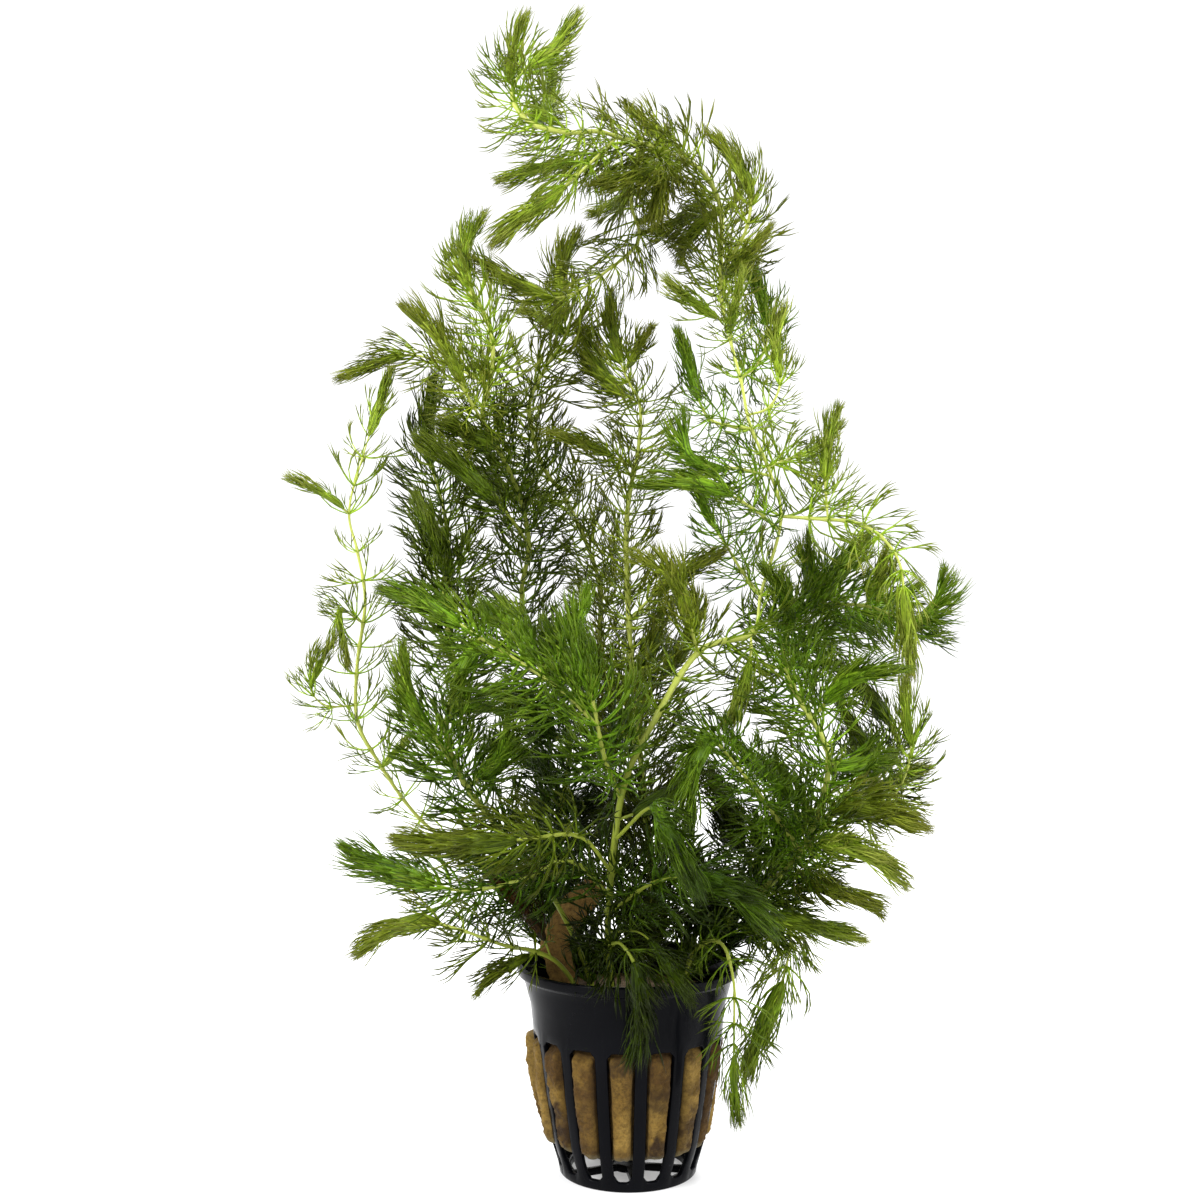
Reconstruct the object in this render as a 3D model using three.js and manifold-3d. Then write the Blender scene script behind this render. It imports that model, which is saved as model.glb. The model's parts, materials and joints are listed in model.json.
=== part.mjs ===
// Potted hornwort: a slotted black net pot, a rockwool plug with a loose strip of wool, and a
// bunch of limp stems that carry whorls of forked leaves and end in brush-like tips.
// Millimetres, +Z up. The pot stands on its base at z = 0, with its axis on the Z axis.
import * as THREE from 'three';
import { mergeVertices } from 'three/addons/utils/BufferGeometryUtils.js';
import Module from 'manifold-3d';

const wasm = await Module();
wasm.setup();

// ---- driving dimensions -----------------------------------------------------------------
const gap = 0.35; // clearance between neighbouring pieces

const potHeight = 51;
const potWall = 1.3;
const rimRadius = 27.5;
const slotCount = 15;
const slotTurn = 24; // degrees from one slot to the next
const slotPhase = -95; // degrees, a slot just left of the front
const slotWidth = 6;
const slotBottom = 2.2;
const slotTop = 34.5;
const potSides = 45; // three to a slot pitch
const baseThickness = 1.6;
const hubRadius = 3.5;
const windowReach = 14; // radius where the base's windows end
const spokeCount = 5;
const spokeWidth = 1.8;
const slotReach = 16; // how deep the cutter for a slot goes, through the wall

const plugBottom = 7.6;
const plugTop = 43;
const plugBulge = 1.3; // how far the wool stands out of the slots
const fullSlot = 11; // the slot on the left, where it stands out furthest
const fullBulge = 3.2;
const socketGap = 1.05; // round a stem's foot, in the wool
const socketDepth = 20;

const stripWidth = 7;
const stripThickness = 1.5;

const leafLength = 11; // a leaf on the older part of a stem
const whorlSpacing = 18;
const rootLength = 26; // the bare foot of a stem, part of it in the plug
const forkLength = 4; // the bare foot of a side shoot
const pieceEnd = 2.5; // bare stem before the next piece
const whorlHeight = 1.7; // the band of stem that one whorl grows from
const whorlLean = 0.35; // how far the leaves lean toward the stem's tip
const tipLength = 19;
const tipLeaf = 6.5;
const tipLean = 2.4;
const tipBody = 0.26; // radius of a tip's core, as a share of its brush's width
const tipBands = [[0, 0.6], [0.32, 1], [0.72, 0.8]]; // place along, and swelling
const leafSag = 0.12; // how far gravity turns a leaf down
const leafClearance = 0.75; // from a leaf's middle line to another piece's
const shortenings = [1, 0.8, 0.6, 0.42, 0.28];
const turnSteps = 5; // from one station to the next, to carry a stem's sides round a bend

// ---- colours and finishes ---------------------------------------------------------------
const finishes = {
  pot: { color: 0x17181b, roughness: 0.25, metalness: 0 },
  wool: { color: 0x9a7c45, roughness: 0.95, metalness: 0 },
  strip: { color: 0x77592a, roughness: 0.9, metalness: 0 },
  bright: { color: 0x6f8433, roughness: 0.5, metalness: 0 },
  dark: { color: 0x3b4a24, roughness: 0.5, metalness: 0 },
  olive: { color: 0x5a6030, roughness: 0.5, metalness: 0 },
};

// ---- the shoots -------------------------------------------------------------------------
// Each route runs from the root or fork to the tip. `from` and `at` name the stem that a shoot
// grows on and how far along it. `radius` is the stem's, and `brush` the width of its tip: a
// stem without one goes on in the next piece. `buds` are small shoots fused to their stem.
const shoots = {
  tall_stem_lower: {
    radius: 1.2, finish: 'bright',
    route: [[-4, -8, 36], [-4, -8, 45], [-5, -13, 58], [-4, -28, 81], [-1, -33, 100], [5, -30, 112],
      [17, -20, 129], [30, -12, 133]],
    buds: [
      { at: 0.22, radius: 0.5, brush: 5, route: [[3, -30, 64], [8, -36, 59], [13, -36, 51]] },
      {
        at: 0.49, radius: 0.6, brush: 9,
        route: [[3, -33, 93], [8, -35, 96], [12, -36, 100], [14, -36, 105]],
      },
      {
        at: 0.99, radius: 0.5, brush: 5,
        route: [[29, -16, 129], [28, -18, 124], [26, -19, 118], [22, -19, 112]],
      },
    ],
  },
  tall_stem_middle: {
    from: 'tall_stem_lower', at: 1, radius: 1.0, finish: 'bright',
    route: [[32, -9, 142], [37, -8, 161], [34, -9, 172], [29, -12, 183], [27, -12, 193],
      [23, -6, 212]],
    buds: [
      {
        at: 0.66, radius: 0.5, brush: 5,
        route: [[33, -21, 186], [35, -24, 191], [34, -24, 199], [36, -21, 208]],
      },
      { at: 0.89, radius: 0.5, brush: 5, route: [[24, -24, 207], [26, -27, 215]] },
      { at: 0.95, radius: 0.5, brush: 5, route: [[17, -12, 211], [10, -15, 216]] },
    ],
  },
  tall_stem_arch: {
    from: 'tall_stem_middle', at: 1, radius: 0.9, finish: 'olive',
    route: [[23, 0, 226], [23, 3, 239], [18, 0, 247], [8, -4, 251], [-1, -9, 252], [-7, -12, 253]],
    buds: [
      { at: 0.12, radius: 0.5, brush: 6, route: [[27, -20, 221], [32, -22, 227]] },
      { at: 0.47, radius: 0.5, brush: 7, route: [[18, 18, 242], [13, 21, 239], [6, 22, 237]] },
      { at: 0.62, radius: 0.5, brush: 7, route: [[10, 10, 257], [1, 14, 267]] },
      { at: 0.74, radius: 0.5, brush: 7, route: [[4, -18, 242], [-7, -22, 238]] },
      { at: 0.73, radius: 0.5, brush: 8, route: [[8, -9, 243], [7, -12, 237], [4, -13, 232]] },
      { at: 0.41, radius: 0.5, brush: 7, route: [[18, 8, 235], [16, 11, 232], [14, 12, 228]] },
    ],
  },
  tall_stem_tip: {
    from: 'tall_stem_arch', at: 1, radius: 0.9, brush: 7, finish: 'bright',
    route: [[-15, -15, 252], [-23, -15, 254], [-28, -12, 261], [-26, -9, 268], [-20, -4, 274],
      [-13, 0, 285]],
    buds: [
      { at: 0.36, radius: 0.6, brush: 9, route: [[-20, 0, 262], [-19, 6, 274]] },
      { at: 0.52, radius: 0.5, brush: 5, route: [[-28, -21, 266], [-25, -22, 276]] },
    ],
  },
  arch_shoot_right: {
    from: 'tall_stem_arch', at: 0.17, radius: 0.6, brush: 7, finish: 'olive',
    route: [[28, -10, 229], [29, -14, 238], [25, -10, 247], [20, -8, 253]],
  },
  arch_shoot_hanging: {
    from: 'tall_stem_arch', at: 0.83, radius: 0.7, brush: 7, finish: 'olive',
    route: [[1, 9, 241], [3, 9, 232], [-6, 8, 223], [-17, 3, 216], [-26, -2, 218], [-36, -6, 223]],
    buds: [{ at: 0.15, radius: 0.5, brush: 7, route: [[-1, 21, 245], [-8, 26, 243]] }],
  },
  arch_shoot_left_high: {
    from: 'tall_stem_tip', at: 0.08, radius: 0.6, brush: 6, finish: 'bright',
    route: [[-14, -6, 248], [-20, -3, 247], [-31, 0, 245]],
  },
  arch_shoot_left_low: {
    from: 'tall_stem_arch', at: 0.93, radius: 0.6, brush: 7, finish: 'bright',
    route: [[-9, -18, 244], [-16, -21, 237], [-24, -21, 231], [-31, -21, 225]],
  },
  tall_shoot_right_inner: {
    from: 'tall_stem_middle', at: 0.77, radius: 0.6, brush: 6, finish: 'bright',
    route: [[32, 0, 199], [35, 6, 206], [34, 9, 216], [30, 12, 227]],
  },
  tall_shoot_left_high: {
    from: 'tall_stem_middle', at: 0.62, radius: 0.6, brush: 6, finish: 'dark',
    route: [[21, -6, 184], [18, 0, 189], [16, 3, 197], [13, 6, 207]],
  },
  tall_shoot_left_middle: {
    from: 'tall_stem_middle', at: 0.47, radius: 0.6, brush: 7, finish: 'dark',
    route: [[25, -15, 172], [18, -18, 172], [14, -18, 175], [13, -15, 185]],
  },
  tall_shoot_left_low: {
    from: 'tall_stem_middle', at: 0.31, radius: 0.6, brush: 8, finish: 'dark',
    route: [[30, -15, 162], [22, -21, 166], [15, -21, 168], [3, -18, 168]],
  },
  tall_shoot_left_rising: {
    from: 'tall_stem_middle', at: 0.11, radius: 0.6, brush: 6, finish: 'olive',
    route: [[28, 0, 148], [25, 6, 154], [22, 9, 159], [19, 6, 165], [17, 0, 174]],
  },
  tall_shoot_right_high: {
    from: 'tall_stem_middle', at: 0.5, radius: 0.6, brush: 6, finish: 'bright',
    route: [[41, 3, 176], [48, 12, 179], [54, 15, 185]],
  },
  tall_shoot_right_hanging: {
    from: 'tall_stem_middle', at: 0.35, radius: 0.7, brush: 6, finish: 'bright',
    route: [[46, -12, 160], [54, -15, 159], [59, -18, 156], [63, -21, 150], [64, -24, 141],
      [65, -24, 125]],
    buds: [{ at: 0.2, radius: 0.5, brush: 6, route: [[48, -6, 170], [49, -3, 179], [52, 0, 187]] }],
  },
  tall_shoot_inner: {
    from: 'tall_stem_lower', at: 0.86, radius: 0.6, brush: 8, finish: 'olive',
    route: [[13, -30, 137], [10, -33, 145], [2, -33, 150]],
  },
  front_shoot_upright: {
    from: 'tall_stem_lower', at: 0.53, radius: 0.7, brush: 9, finish: 'bright',
    route: [[-6, -40, 106], [-8, -42, 116], [-10, -42, 126], [-12, -39, 133], [-10, -36, 142]],
    buds: [
      {
        at: 0.56, radius: 0.5, brush: 9,
        route: [[-13, -38, 125], [-16, -34, 130], [-19, -32, 135]],
      },
    ],
  },
  front_shoot_left: {
    from: 'front_shoot_upright', at: 0.4, radius: 0.7, brush: 8, finish: 'bright',
    route: [[-16, -39, 121], [-24, -36, 126], [-34, -33, 132], [-47, -27, 140], [-57, -21, 143]],
    buds: [
      {
        at: 0.27, radius: 0.6, brush: 9,
        route: [[-22, -32, 128], [-25, -28, 132], [-30, -24, 136], [-35, -22, 138]],
      },
      {
        at: 0.55, radius: 0.5, brush: 8,
        route: [[-36, -35, 128], [-38, -37, 124], [-39, -38, 120]],
      },
    ],
  },
  front_brush_left: {
    from: 'tall_stem_lower', at: 0.38, radius: 0.7, brush: 10, finish: 'bright',
    route: [[-12, -39, 88], [-24, -45, 88], [-38, -44, 87], [-51, -42, 88]],
  },
  front_shoot_right: {
    from: 'tall_stem_lower', at: 0.27, radius: 0.7, brush: 9, finish: 'dark',
    route: [[7, -33, 77], [18, -37, 78], [32, -31, 66]],
  },
  front_shoot_drooping: {
    from: 'tall_stem_lower', at: 0.45, radius: 0.7, brush: 9, finish: 'dark',
    route: [[5, -45, 95], [8, -51, 90], [14, -46, 78]],
  },
  rim_shoot_front: {
    from: 'tall_stem_lower', at: 0.17, radius: 0.7, brush: 8, finish: 'bright',
    route: [[-4, -26, 61], [-2, -31, 62], [1, -34, 58], [2, -34, 51], [2, -33, 44], [0, -32, 37]],
  },
  long_shoot_left: {
    from: 'tall_stem_lower', at: 0.32, radius: 0.8, brush: 10, finish: 'bright',
    route: [[-14, -24, 80], [-26, -23, 75], [-40, -18, 72], [-51, -12, 74], [-60, -8, 76],
      [-69, -4, 80]],
  },
  right_stem_lower: {
    radius: 1.1, finish: 'olive',
    route: [[14, 3, 36], [14.5, 3, 45], [19, 3, 54], [27, 4, 62], [39, 0, 74], [43, -9, 82],
      [47, -18, 104],
      [40, -15, 118]],
    buds: [
      {
        at: 0.69, radius: 0.6, brush: 8,
        route: [[40, -7, 93], [36, -1, 97], [31, 3, 101], [27, 5, 106]],
      },
      { at: 0.82, radius: 0.5, brush: 8, route: [[52, -15, 101], [57, -14, 102], [62, -14, 102]] },
      { at: 0.41, radius: 0.6, brush: 9, route: [[38, 3, 77], [41, 7, 81], [46, 8, 86]] },
    ],
  },
  right_stem_upper: {
    from: 'right_stem_lower', at: 1, radius: 1.0, brush: 10, finish: 'bright',
    route: [[38, -6, 126], [41, 6, 134], [48, 12, 141], [56, 15, 150], [62, 18, 157]],
    buds: [
      { at: 0.41, radius: 0.5, brush: 8, route: [[38, -9, 141], [32, -18, 148]] },
      { at: 0.61, radius: 0.5, brush: 9, route: [[47, 7, 145], [45, 4, 150], [45, 2, 156]] },
    ],
  },
  right_shoot_tip: {
    from: 'right_stem_upper', at: 0.6, radius: 0.6, brush: 7, finish: 'bright',
    route: [[60, 3, 139], [70, -6, 135], [74, -9, 139], [76, -9, 147]],
    buds: [
      { at: 0.33, radius: 0.5, brush: 8, route: [[61, -1, 143], [62, -4, 147], [63, -5, 153]] },
    ],
  },
  right_shoot_back: {
    from: 'right_stem_upper', at: 0.25, radius: 0.6, brush: 9, finish: 'bright',
    route: [[53, 21, 132], [65, 27, 137], [77, 30, 144]],
  },
  right_shoot_front: {
    from: 'right_stem_lower', at: 0.93, radius: 0.6, brush: 9, finish: 'dark',
    route: [[49, -26, 121], [55, -33, 124], [62, -34, 125]],
  },
  right_shoot_drooping: {
    from: 'right_stem_lower', at: 0.56, radius: 0.8, brush: 9, finish: 'dark',
    route: [[32, -20, 93], [24, -30, 103], [18, -36, 109], [14, -42, 104], [13, -45, 92]],
  },
  right_shoot_low_1: {
    from: 'right_stem_lower', at: 0.66, radius: 0.6, brush: 9, finish: 'dark',
    route: [[52, -18, 92], [59, -21, 91], [68, -21, 88]],
  },
  right_shoot_low_2: {
    from: 'right_stem_lower', at: 0.58, radius: 0.6, brush: 9, finish: 'dark',
    route: [[48, -22, 84], [54, -26, 82], [62, -27, 76]],
  },
  right_shoot_low_3: {
    from: 'right_stem_lower', at: 0.49, radius: 0.6, brush: 8, finish: 'dark',
    route: [[47, -12, 72], [53, -14, 70], [59, -15, 66]],
  },
  right_shoot_low_4: {
    from: 'right_stem_lower', at: 0.33, radius: 0.6, brush: 8, finish: 'dark',
    route: [[35, -8, 64], [45, -10, 62], [55, -10, 59]],
  },
  far_right_stem: {
    radius: 1.0, brush: 7, finish: 'dark',
    route: [[14.5, 10, 36], [15, 10, 45], [20, 12, 54], [30, 17, 62], [44, 23, 75], [57, 22, 88],
      [66, 15, 96], [69, 12, 105], [63, 9, 114], [54, 6, 124]],
    buds: [
      { at: 0.72, radius: 0.5, brush: 6, route: [[59, -6, 103], [50, -12, 117]] },
      {
        at: 0.34, radius: 0.6, brush: 9,
        route: [[29, 8, 78], [26, 2, 85], [23, -2, 92], [21, -4, 98]],
      },
      { at: 0.23, radius: 0.6, brush: 9, route: [[19, 1, 70], [16, -5, 76], [12, -9, 81]] },
      { at: 0.67, radius: 0.5, brush: 8, route: [[62, 24, 98], [61, 28, 103], [60, 30, 108]] },
    ],
  },
  far_right_shoot_thin: {
    from: 'far_right_stem', at: 0.6, radius: 0.5, brush: 5, finish: 'bright',
    route: [[66, 9, 90], [69, 2, 97], [70, 0, 104], [69, 0, 111], [69, 0, 121]],
  },
  far_right_shoot_back: {
    from: 'far_right_stem', at: 0.56, radius: 0.6, brush: 8, finish: 'olive',
    route: [[69, 33, 91], [81, 36, 95]],
  },
  rim_shoot_right: {
    from: 'far_right_stem', at: 0.3, radius: 0.6, brush: 9, finish: 'bright',
    route: [[40, 0, 59], [37, -6, 46], [32, -9, 36], [28, -12, 26]],
  },
  centre_stem_lower: {
    radius: 1.1, finish: 'olive',
    route: [[3, 2, 36], [3, 2, 45], [6, 5, 66], [5, 12, 84], [3, 15, 105], [1, 15, 128]],
    buds: [
      {
        at: 0.57, radius: 0.6, brush: 9,
        route: [[-1, 25, 85], [-8, 33, 85], [-16, 39, 86], [-23, 43, 85]],
      },
      {
        at: 0.92, radius: 0.6, brush: 9,
        route: [[5, 21, 124], [7, 25, 130], [9, 27, 136], [9, 28, 142]],
      },
    ],
  },
  centre_stem_upper: {
    from: 'centre_stem_lower', at: 1, radius: 1.0, brush: 6, finish: 'olive',
    route: [[0, 12, 146], [0, 9, 163], [3, 6, 181], [3, 6, 190], [0, 6, 196], [-3, 9, 205],
      [-4, 12, 218]],
    buds: [
      { at: 0.77, radius: 0.5, brush: 5, route: [[5, -9, 206]] },
      { at: 0.5, radius: 0.5, brush: 5, route: [[-8, -3, 178], [-18, -6, 181]] },
      {
        at: 0.68, radius: 0.6, brush: 10,
        route: [[-1, 10, 193], [-6, 13, 198], [-9, 15, 204], [-12, 16, 211]],
      },
    ],
  },
  centre_shoot_right: {
    from: 'centre_stem_upper', at: 0.08, radius: 0.6, brush: 8, finish: 'olive',
    route: [[8, 4, 143], [15, -3, 148], [22, -6, 152]],
  },
  centre_shoot_back: {
    from: 'centre_stem_lower', at: 0.83, radius: 0.7, brush: 9, finish: 'olive',
    route: [[9, 27, 120], [16, 30, 130], [18, 33, 142]],
  },
  olive_stem_lower: {
    from: 'centre_stem_lower', at: 0.7, radius: 0.9, finish: 'olive',
    route: [[-4, 30, 114], [-7, 39, 130], [-7, 39, 145], [-17, 27, 169]],
  },
  olive_stem_upper: {
    from: 'olive_stem_lower', at: 1, radius: 0.8, brush: 9, finish: 'olive',
    route: [[-21, 21, 174], [-24, 18, 182], [-25, 15, 191], [-21, 15, 200], [-16, 18, 209],
      [-17, 21, 218], [-17, 21, 226], [-13, 21, 236]],
    buds: [
      { at: 0.63, radius: 0.5, brush: 8, route: [[-19, 22, 212], [-23, 24, 215], [-27, 25, 216]] },
    ],
  },
  thin_stem_lower: {
    radius: 0.8, finish: 'bright',
    route: [[-15, 7, 36], [-15, 7, 45], [-21, 10, 54], [-40, 19, 74], [-52, 12, 84], [-62, 3, 100],
      [-67, 0, 111]],
    buds: [
      { at: 0.22, radius: 0.5, brush: 5, route: [[-25, 1, 66], [-34, -1, 74]] },
      { at: 0.86, radius: 0.4, brush: 4, route: [[-55, -3, 106]] },
    ],
  },
  thin_stem_upper: {
    from: 'thin_stem_lower', at: 1, radius: 0.7, brush: 5, finish: 'bright',
    route: [[-67, 0, 124], [-65, 0, 141], [-67, 0, 153], [-69, 0, 162], [-65, 0, 178], [-60, 6, 197]],
    buds: [
      { at: 0.04, radius: 0.4, brush: 3, route: [[-74, -6, 115], [-77, -8, 119], [-72, -9, 130]] },
      { at: 0.27, radius: 0.4, brush: 4, route: [[-70, -8, 138], [-68, -10, 127]] },
      { at: 0.58, radius: 0.4, brush: 4, route: [[-72, -4, 165], [-81, -8, 170]] },
    ],
  },
  bushy_stem_lower: {
    radius: 1.0, finish: 'olive',
    route: [[-9, -2, 36], [-9, -2, 45], [-12, -4, 55], [-19, -10, 70], [-31, -15, 86],
      [-40, -21, 100],
      [-43, -21, 111], [-41, -18, 121]],
    buds: [
      {
        at: 0.73, radius: 0.6, brush: 9,
        route: [[-34, -24, 100], [-30, -28, 104], [-28, -32, 111], [-28, -34, 116]],
      },
      { at: 0.9, radius: 0.5, brush: 8, route: [[-40, -15, 115], [-36, -11, 115], [-31, -9, 113]] },
    ],
  },
  bushy_stem_upper: {
    from: 'bushy_stem_lower', at: 1, radius: 0.9, brush: 8, finish: 'dark',
    route: [[-43, -12, 131], [-45, -3, 143], [-45, 6, 153], [-47, 12, 165], [-51, 15, 179],
      [-50, 18, 197]],
    buds: [{
      at: 0.3, radius: 0.6, brush: 8, route: [[-44, -15, 149], [-46, -21, 156], [-50, -22, 164]],
    }],
  },
  bushy_shoot_left: {
    from: 'bushy_stem_lower', at: 0.76, radius: 0.6, brush: 7, finish: 'dark',
    route: [[-45, -27, 109], [-50, -30, 117], [-52, -30, 129]],
  },
  back_stem_lower: {
    radius: 1.0, finish: 'dark',
    route: [[-10, 13, 36], [-10, 13, 45], [-14, 16, 54], [-20, 24, 65], [-17, 33, 87], [-15, 30, 101],
      [-17, 24, 115]],
    buds: [
      {
        at: 0.83, radius: 0.6, brush: 9,
        route: [[-20, 26, 106], [-25, 22, 111], [-30, 18, 115], [-35, 16, 117]],
      },
      {
        at: 0.72, radius: 0.6, brush: 9,
        route: [[-21, 37, 95], [-27, 41, 98], [-32, 43, 100], [-38, 45, 100]],
      },
    ],
  },
  back_stem_middle: {
    from: 'back_stem_lower', at: 1, radius: 0.9, finish: 'dark',
    route: [[-25, 18, 130], [-27, 15, 143], [-25, 12, 154], [-27, 9, 166], [-32, 3, 178],
      [-36, 0, 186]],
    buds: [
      { at: 0.87, radius: 0.6, brush: 10, route: [[-36, -2, 180], [-41, -6, 182], [-45, -9, 183]] },
      { at: 0.7, radius: 0.6, brush: 10, route: [[-32, 14, 169], [-37, 17, 173], [-43, 19, 176]] },
    ],
  },
  back_stem_upper: {
    from: 'back_stem_middle', at: 1, radius: 0.8, brush: 7, finish: 'bright',
    route: [[-34, -3, 194], [-33, -6, 202], [-35, -6, 210], [-39, -6, 217], [-40, -3, 226],
      [-36, 0, 235]],
  },
  back_shoot_dark: {
    from: 'back_stem_middle', at: 0.55, radius: 0.6, brush: 9, finish: 'dark',
    route: [[-30, 0, 162], [-38, -6, 170], [-50, -12, 179]],
  },
  back_shoot_high: {
    from: 'back_stem_middle', at: 0.93, radius: 0.6, brush: 7, finish: 'olive',
    route: [[-40, -15, 192], [-44, -18, 201], [-52, -18, 209]],
  },
  back_shoot_reaching: {
    from: 'back_stem_upper', at: 0.15, radius: 0.6, brush: 5, finish: 'dark',
    route: [[-45, 9, 200], [-56, 12, 203], [-72, 12, 198]],
  },
  short_stem_left: {
    radius: 0.9, brush: 8, finish: 'olive',
    route: [[-12, -10, 36], [-12, -10, 45], [-17, -14, 54], [-23, -19, 58], [-29, -23, 60],
      [-39, -25, 64], [-47, -25, 66], [-55, -24, 64], [-63, -19, 58]],
    buds: [
      { at: 0.37, radius: 0.4, brush: 5, route: [[-30, -27, 55], [-34, -28, 51]] },
      { at: 0.3, radius: 0.4, brush: 5, route: [[-21, -21, 63], [-25, -21, 68], [-30, -21, 73]] },
    ],
  },
  trailing_stem: {
    radius: 0.8, brush: 4, finish: 'bright',
    route: [[13, -9, 36], [13, -9, 45], [15, -12, 55], [19, -18, 60], [22, -25, 60], [24, -27, 52],
      [24, -28, 46], [24, -27, 31], [25, -26, 21]],
  },
};

// ---- small helpers ----------------------------------------------------------------------
const vector = (point) => new THREE.Vector3(...point);
const radians = THREE.MathUtils.degToRad;
const curveThrough = (points) => new THREE.CatmullRomCurve3(points);

function numberStream(seed) {
  let state = seed;
  return () => {
    state = (state * 1664525 + 1013904223) % 4294967296;
    return state / 4294967296;
  };
}

function meshGeometry(positions, faces) {
  const geometry = new THREE.BufferGeometry();
  geometry.setAttribute('position', new THREE.Float32BufferAttribute(positions.flat(), 3));
  geometry.setIndex(faces.flat());
  return geometry;
}

function toSolid(geometry) {
  const bare = geometry.clone();
  bare.deleteAttribute('normal');
  bare.deleteAttribute('uv');
  const merged = mergeVertices(bare, 1e-4);
  const vertProperties = new Float32Array(merged.attributes.position.array);
  const triVerts = new Uint32Array(merged.index.array);
  return new wasm.Manifold(new wasm.Mesh({ numProp: 3, vertProperties, triVerts }));
}

function toGeometry(solid) {
  const { vertProperties, triVerts } = solid.getMesh();
  const geometry = new THREE.BufferGeometry();
  geometry.setAttribute('position', new THREE.BufferAttribute(new Float32Array(vertProperties), 3));
  geometry.setIndex(new THREE.BufferAttribute(new Uint32Array(triVerts), 1));
  return geometry;
}

function makeMesh(name, geometry, finish) {
  const mesh = new THREE.Mesh(geometry, new THREE.MeshStandardMaterial(finishes[finish]));
  mesh.name = name;
  return mesh;
}

// ---- pot --------------------------------------------------------------------------------
const potOutside = [
  [16.8, 0], [17.3, 2.4], [19.6, 10], [21.7, 22], [24.1, 41.6], [26, 48.2], [27.2, 48.8],
  [rimRadius, potHeight],
];

function turned(profile) {
  const outline = profile.map(([radius, z]) => new THREE.Vector2(radius, z));
  const geometry = new THREE.LatheGeometry(outline, potSides, radians(slotPhase + 90));
  return geometry.rotateX(Math.PI / 2);
}

function potBlank() {
  const inside = [7, 4, 3, 2].map((i) => [potOutside[i][0] - potWall, potOutside[i][1]]);
  const floor = [[potOutside[1][0] - potWall, baseThickness], [0, baseThickness]];
  return toSolid(turned([[0, 0], ...potOutside, ...inside, ...floor]));
}

function slotCutter(angle) {
  const block = new THREE.BoxGeometry(slotReach, slotWidth, slotTop - slotBottom);
  block.translate(rimRadius - 5.5, 0, (slotBottom + slotTop) / 2).rotateZ(radians(angle));
  return toSolid(block);
}

// The gap between two spokes, which run under the ribs.
function windowCutter(angle) {
  const corners = [[hubRadius, [-1, 0, 1]], [windowReach, [1, 0.5, 0, -0.5, -1]]];
  const outline = corners.flatMap(([radius, shares]) => shares.map((share) => {
    const reach = Math.PI / spokeCount - Math.asin(spokeWidth / 2 / radius);
    const turn = radians(angle) + share * reach;
    return new THREE.Vector2(radius * Math.cos(turn), radius * Math.sin(turn));
  }));
  const depth = 4 * baseThickness;
  const block = new THREE.ExtrudeGeometry(new THREE.Shape(outline), { depth, bevelEnabled: false });
  return toSolid(block.translate(0, 0, -depth / 2));
}

function netPot() {
  let pot = potBlank();
  for (let i = 0; i < slotCount; i += 1) {
    pot = pot.subtract(slotCutter(slotPhase + i * slotTurn));
  }
  for (let i = 0; i < spokeCount; i += 1) {
    pot = pot.subtract(windowCutter(slotPhase + slotTurn / 2 + ((i + 0.5) * 360) / spokeCount));
  }
  return toGeometry(pot);
}

// ---- rockwool plug and strip ------------------------------------------------------------
// The wool's wall: inside the ribs, and pushed out between them.
function bulgedPlug() {
  const inset = potWall + gap;
  const levels = [plugBottom, 12, 21.5, 31, 34, plugTop];
  const wallRadius = (z) => {
    const above = potOutside.findIndex(([, height]) => height >= z);
    const [[r0, z0], [r1, z1]] = potOutside.slice(above - 1, above + 1);
    return r0 + ((r1 - r0) * (z - z0)) / (z1 - z0) - inset;
  };
  const rings = levels.map((z) => [wallRadius(z), z]);
  const geometry = turned([[0, plugBottom], ...rings, [0, plugTop]]);
  const place = geometry.attributes.position;
  for (let i = 0; i < place.count; i += 1) {
    const point = new THREE.Vector3().fromBufferAttribute(place, i);
    const turn = THREE.MathUtils.radToDeg(Math.atan2(point.y, point.x)) - slotPhase;
    const fromSlot = Math.abs(((turn % slotTurn) + 1.5 * slotTurn) % slotTurn - slotTurn / 2);
    if (fromSlot < slotTurn / 5 && point.z > plugBottom + 1 && point.z < slotTop - 1) {
      const slot = (Math.round(turn / slotTurn) + slotCount) % slotCount;
      const bulge = slot === fullSlot ? fullBulge : plugBulge;
      const reach = (inset + bulge) / Math.hypot(point.x, point.y);
      point.x *= 1 + reach;
      point.y *= 1 + reach;
      place.setXYZ(i, point.x, point.y, point.z);
    }
  }
  return toSolid(geometry);
}

function rockwoolPlug(rooted) {
  let plug = bulgedPlug();
  for (const { route, radius } of rooted) {
    const root = route[0];
    const wide = radius + socketGap;
    const hole = new THREE.CylinderGeometry(wide, wide, socketDepth, 8);
    hole.rotateX(Math.PI / 2).translate(root.x, root.y, root.z - 1 + socketDepth / 2);
    plug = plug.subtract(toSolid(hole));
  }
  return toGeometry(plug);
}

function woolStrip() {
  const foot = [-15.5, 2, plugTop + 2 * gap];
  const route = [foot, [-16, 2, 47], [-18, 2, 55], [-14, 2, 63], [-6.5, 0.5, 71]];
  const section = new THREE.Shape();
  section.moveTo(-stripThickness / 2, -stripWidth / 2);
  section.lineTo(stripThickness / 2, -stripWidth / 2);
  section.lineTo(stripThickness / 2, stripWidth / 2);
  section.lineTo(-stripThickness / 2, stripWidth / 2);
  return toFlatStrip(route.map(vector), section);
}

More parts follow.
